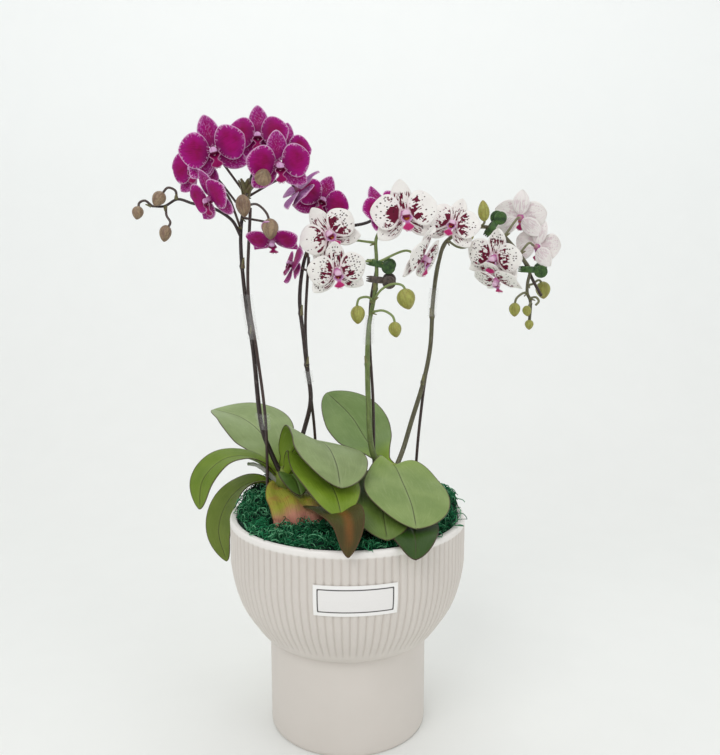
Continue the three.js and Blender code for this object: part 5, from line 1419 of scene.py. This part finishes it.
def sleeves():
    look = clear_look()
    for spec in SLEEVES:
        heights = np.linspace(spec["low"], spec["high"], 9)
        turn = turns(32) + np.pi / 32
        outside, within = [], []
        for z in heights:
            a = point_at_height(SPIKES[spec["spike"]]["stem"], z)
            b = point_at_height(STAKES[spec["stake"]]["path"], z)
            centre = (a + b) / 2
            toward = np.array([a[0] - b[0], a[1] - b[1], 0])
            half = np.linalg.norm(toward) / 2
            toward = toward / (2 * half)
            beside = np.array([-toward[1], toward[0], 0])
            for ring, r in ((outside, SLEEVE_OUTER), (within, SLEEVE_INNER)):
                reach = np.sign(np.cos(turn)) * half + r * np.cos(turn)
                p = centre + toward * reach[:, None] + beside * (r * np.sin(turn))[:, None]
                p[:, 2] = z
                ring.append(p)
        index = np.arange(2 * len(heights) * len(turn)).reshape(-1, len(turn))
        body = Body()
        body.add(outside + within[::-1], [bands(np.concatenate([index, index[:1]]))])
        body.piece(spec["name"] + "_film", look, spec["name"], "sleeve_clear", crease=50)


def slab(body, outline, low, high, bevel):
    """A closed plate over an outline of (x, y) points, its rims rounded"""
    outline = np.array(outline, float)
    before, after = np.roll(outline, 1, 0), np.roll(outline, -1, 0)
    way = unit(after - before)
    inward = np.stack([-way[:, 1], way[:, 0]], -1)
    middle = outline.mean(0)
    steps = [(low, bevel), (low + bevel * 0.35, bevel * 0.3), (low + bevel, 0)]
    steps += [(high - bevel, 0), (high - bevel * 0.35, bevel * 0.3), (high, bevel)]
    rings = [stacked(*(outline + inward * inset).T, z) for z, inset in steps]
    loft(body, rings, (*middle, low), (*middle, high))


def spun(angle, first, second):
    """A turn that carries one axis towards another"""
    matrix = np.eye(3)
    matrix[first, first] = matrix[second, second] = math.cos(angle)
    matrix[second, first] = math.sin(angle)
    matrix[first, second] = -math.sin(angle)
    return matrix


def clips():
    looks = {
        "brown": (plastic_look("clip_brown_plastic", rgb(96, 84, 76), rgb(62, 54, 50)), "clip_brown"),
        "green": (plastic_look("clip_green_plastic", rgb(66, 102, 42), rgb(34, 64, 28)), "clip_green"),
    }
    for spec in CLIPS:
        body = Body()
        opening = CLIP["mouth"]
        arc = np.linspace(opening - np.pi, np.pi - opening, 40)
        middle_radius = (CLIP["inner"] + CLIP["outer"]) / 2
        half_band = (CLIP["outer"] - CLIP["inner"]) / 2
        section = turns(16)
        square = np.abs(np.cos(section)) ** 0.5 * np.sign(np.cos(section))
        tall = np.abs(np.sin(section)) ** 0.5 * np.sign(np.sin(section))
        r, a = middle_radius + half_band * square, arc[:, None]
        rings = stacked(r * np.cos(a), r * np.sin(a), -CLIP["height"] / 2 * tall)
        loft(body, rings[:, ::-1], rings[0].mean(0), rings[-1].mean(0))
        for side in (-1, 1):
            disc = Body()
            turn = turns(48)
            ring = stacked(CLIP["pad"] * np.cos(turn), CLIP["pad"] * 0.94 * np.sin(turn))
            slab(disc, ring, -CLIP["padThickness"] / 2, CLIP["padThickness"] / 2, 0.3)
            for x in np.linspace(-3.2, 3.2, 6):
                reach = math.sqrt(max(0.1, (CLIP["pad"] - 1) ** 2 - x * x))
                for face in (-1, 1):
                    z = face * CLIP["padThickness"] / 2
                    tube(disc, [(x, y, z) for y in np.linspace(-reach, reach, 4)], 0.3, 8)
            shift = [CLIP["outer"] + CLIP["pad"] - 1.6, side * CLIP["spread"], side * 1.2]
            disc.move(np.array([[1, 0, 0], [0, 0, 1], [0, -1, 0]]), shift)
            body.add(np.concatenate(disc.points), disc.faces)
        for side in (-1, 1):
            for z in (-1.6, 0, 1.6):
                a = side * (np.pi - opening)
                root = np.array([middle_radius * math.cos(a), middle_radius * math.sin(a), z])
                tip = root + np.array([-2.6, -side * 1.4, 0])
                tube(body, [root, (root + tip) / 2 + [0, side * 0.5, 0], tip], [0.75, 0.65, 0.4], 8)
        body.move(spun(spec["tilt"], 2, 0) @ spun(spec["pads"], 0, 1), spec["at"])
        material, slot = looks[spec["finish"]]
        body.piece(spec["name"] + "_claw", material, spec["name"], slot, crease=50)


# Assembly
LEAF_POINTS = np.concatenate([leaf_grid(spec, 40, 20)[0].reshape(-1, 3) for spec in LEAVES])
LEAF_TREE = KDTree(len(LEAF_POINTS))
LEAF_TREE3 = KDTree(len(LEAF_POINTS))
for number, leaf_point in enumerate(LEAF_POINTS):
    LEAF_TREE.insert((leaf_point[0], leaf_point[1], 0), number)
    LEAF_TREE3.insert(leaf_point, number)
LEAF_TREE.balance()
LEAF_TREE3.balance()
STEM_SPOTS = [(*PURPLE_CROWN, 9), (*SPOTTED_CROWN, 9)]
STEM_SPOTS += [(spec["path"][1][0], spec["path"][1][1], 2.2) for spec in STAKES]

pot()
label()
growing_medium()
moss()
crowns()
leaves()
stakes()
spikes()
sleeves()
clips()
blooms()


# Stage, light and camera
def stage():
    look = Look("studio_floor", Roughness=0.9)
    grain = look.noise(look.place(), 0.02, 3)
    look.set("Base Color", look.blend(grain, rgb(235, 236, 233), rgb(238, 239, 236)))
    # Painted light: the backdrop glows a faint bluish white, more strongly higher up.
    look.set("Emission Color", rgb(236, 246, 255))
    look.set("Emission Strength", look.split(look.place())[2].rise(-200, 760) * 0.14)
    width, back, rise, bend = (4000, 900, 2600, 500)
    line = [(-2500, 0), (back - bend, 0)]
    line += [
        (back - bend + bend * math.sin(a), bend - bend * math.cos(a))
        for a in np.linspace(0.1, np.pi / 2, 14)
    ]
    line += [(back, rise)]
    points = [(x * width / 2, y, z) for y, z in line for x in (-1, 1)]
    quads = [(2 * k, 2 * k + 1, 2 * k + 3, 2 * k + 2) for k in range(len(line) - 1)]
    mesh = bpy.data.meshes.new("backdrop")
    mesh.from_pydata((np.array(points) * MM).tolist(), [], quads)
    mesh.polygons.foreach_set("use_smooth", [True] * len(quads))
    mesh.materials.append(look.material)
    sweep = bpy.data.objects.new("backdrop", mesh)
    bpy.context.scene.collection.objects.link(sweep)


def lamp(name, place, aim, size, power):
    data = bpy.data.lights.new(name, "AREA")
    data.shape = "RECTANGLE"
    data.size, data.size_y = (side * MM for side in size)
    data.energy = power
    thing = bpy.data.objects.new(name, data)
    bpy.context.scene.collection.objects.link(thing)
    thing.location = np.array(place) * MM
    way = np.array(aim, float) - np.array(place, float)
    thing.rotation_euler = (
        math.atan2(math.hypot(way[0], way[1]), -way[2]), 0, math.atan2(way[1], way[0]) - math.pi / 2
    )
    return thing


def lights():
    world = bpy.data.worlds.new("soft_room")
    world.use_nodes = True
    inputs = world.node_tree.nodes["Background"].inputs
    inputs["Color"].default_value = rgb(250, 251, 252)
    inputs["Strength"].default_value = 0.63
    bpy.context.scene.world = world
    lamp("key", (-700, -1300, 1500), (0, 0, 250), (1100, 900), 10.6)
    lamp("fill", (1200, -900, 900), (0, 0, 250), (1000, 1000), 3.4)
    lamp("top", (0, 300, 1700), (0, 0, 200), (1200, 900), 4.6)


def camera():
    data = bpy.data.cameras.new("camera")
    data.lens = 38.15
    data.sensor_width = 36
    data.dof.use_dof = False
    data.clip_start, data.clip_end = 0.05, 20
    thing = bpy.data.objects.new("camera", data)
    bpy.context.scene.collection.objects.link(thing)
    thing.location = np.array([9.6, -599, 357]) * MM
    thing.rotation_euler = (math.radians(81.9), 0, 0)
    scene = bpy.context.scene
    scene.camera = thing
    scene.view_settings.view_transform = "Standard"


stage()
lights()
camera()
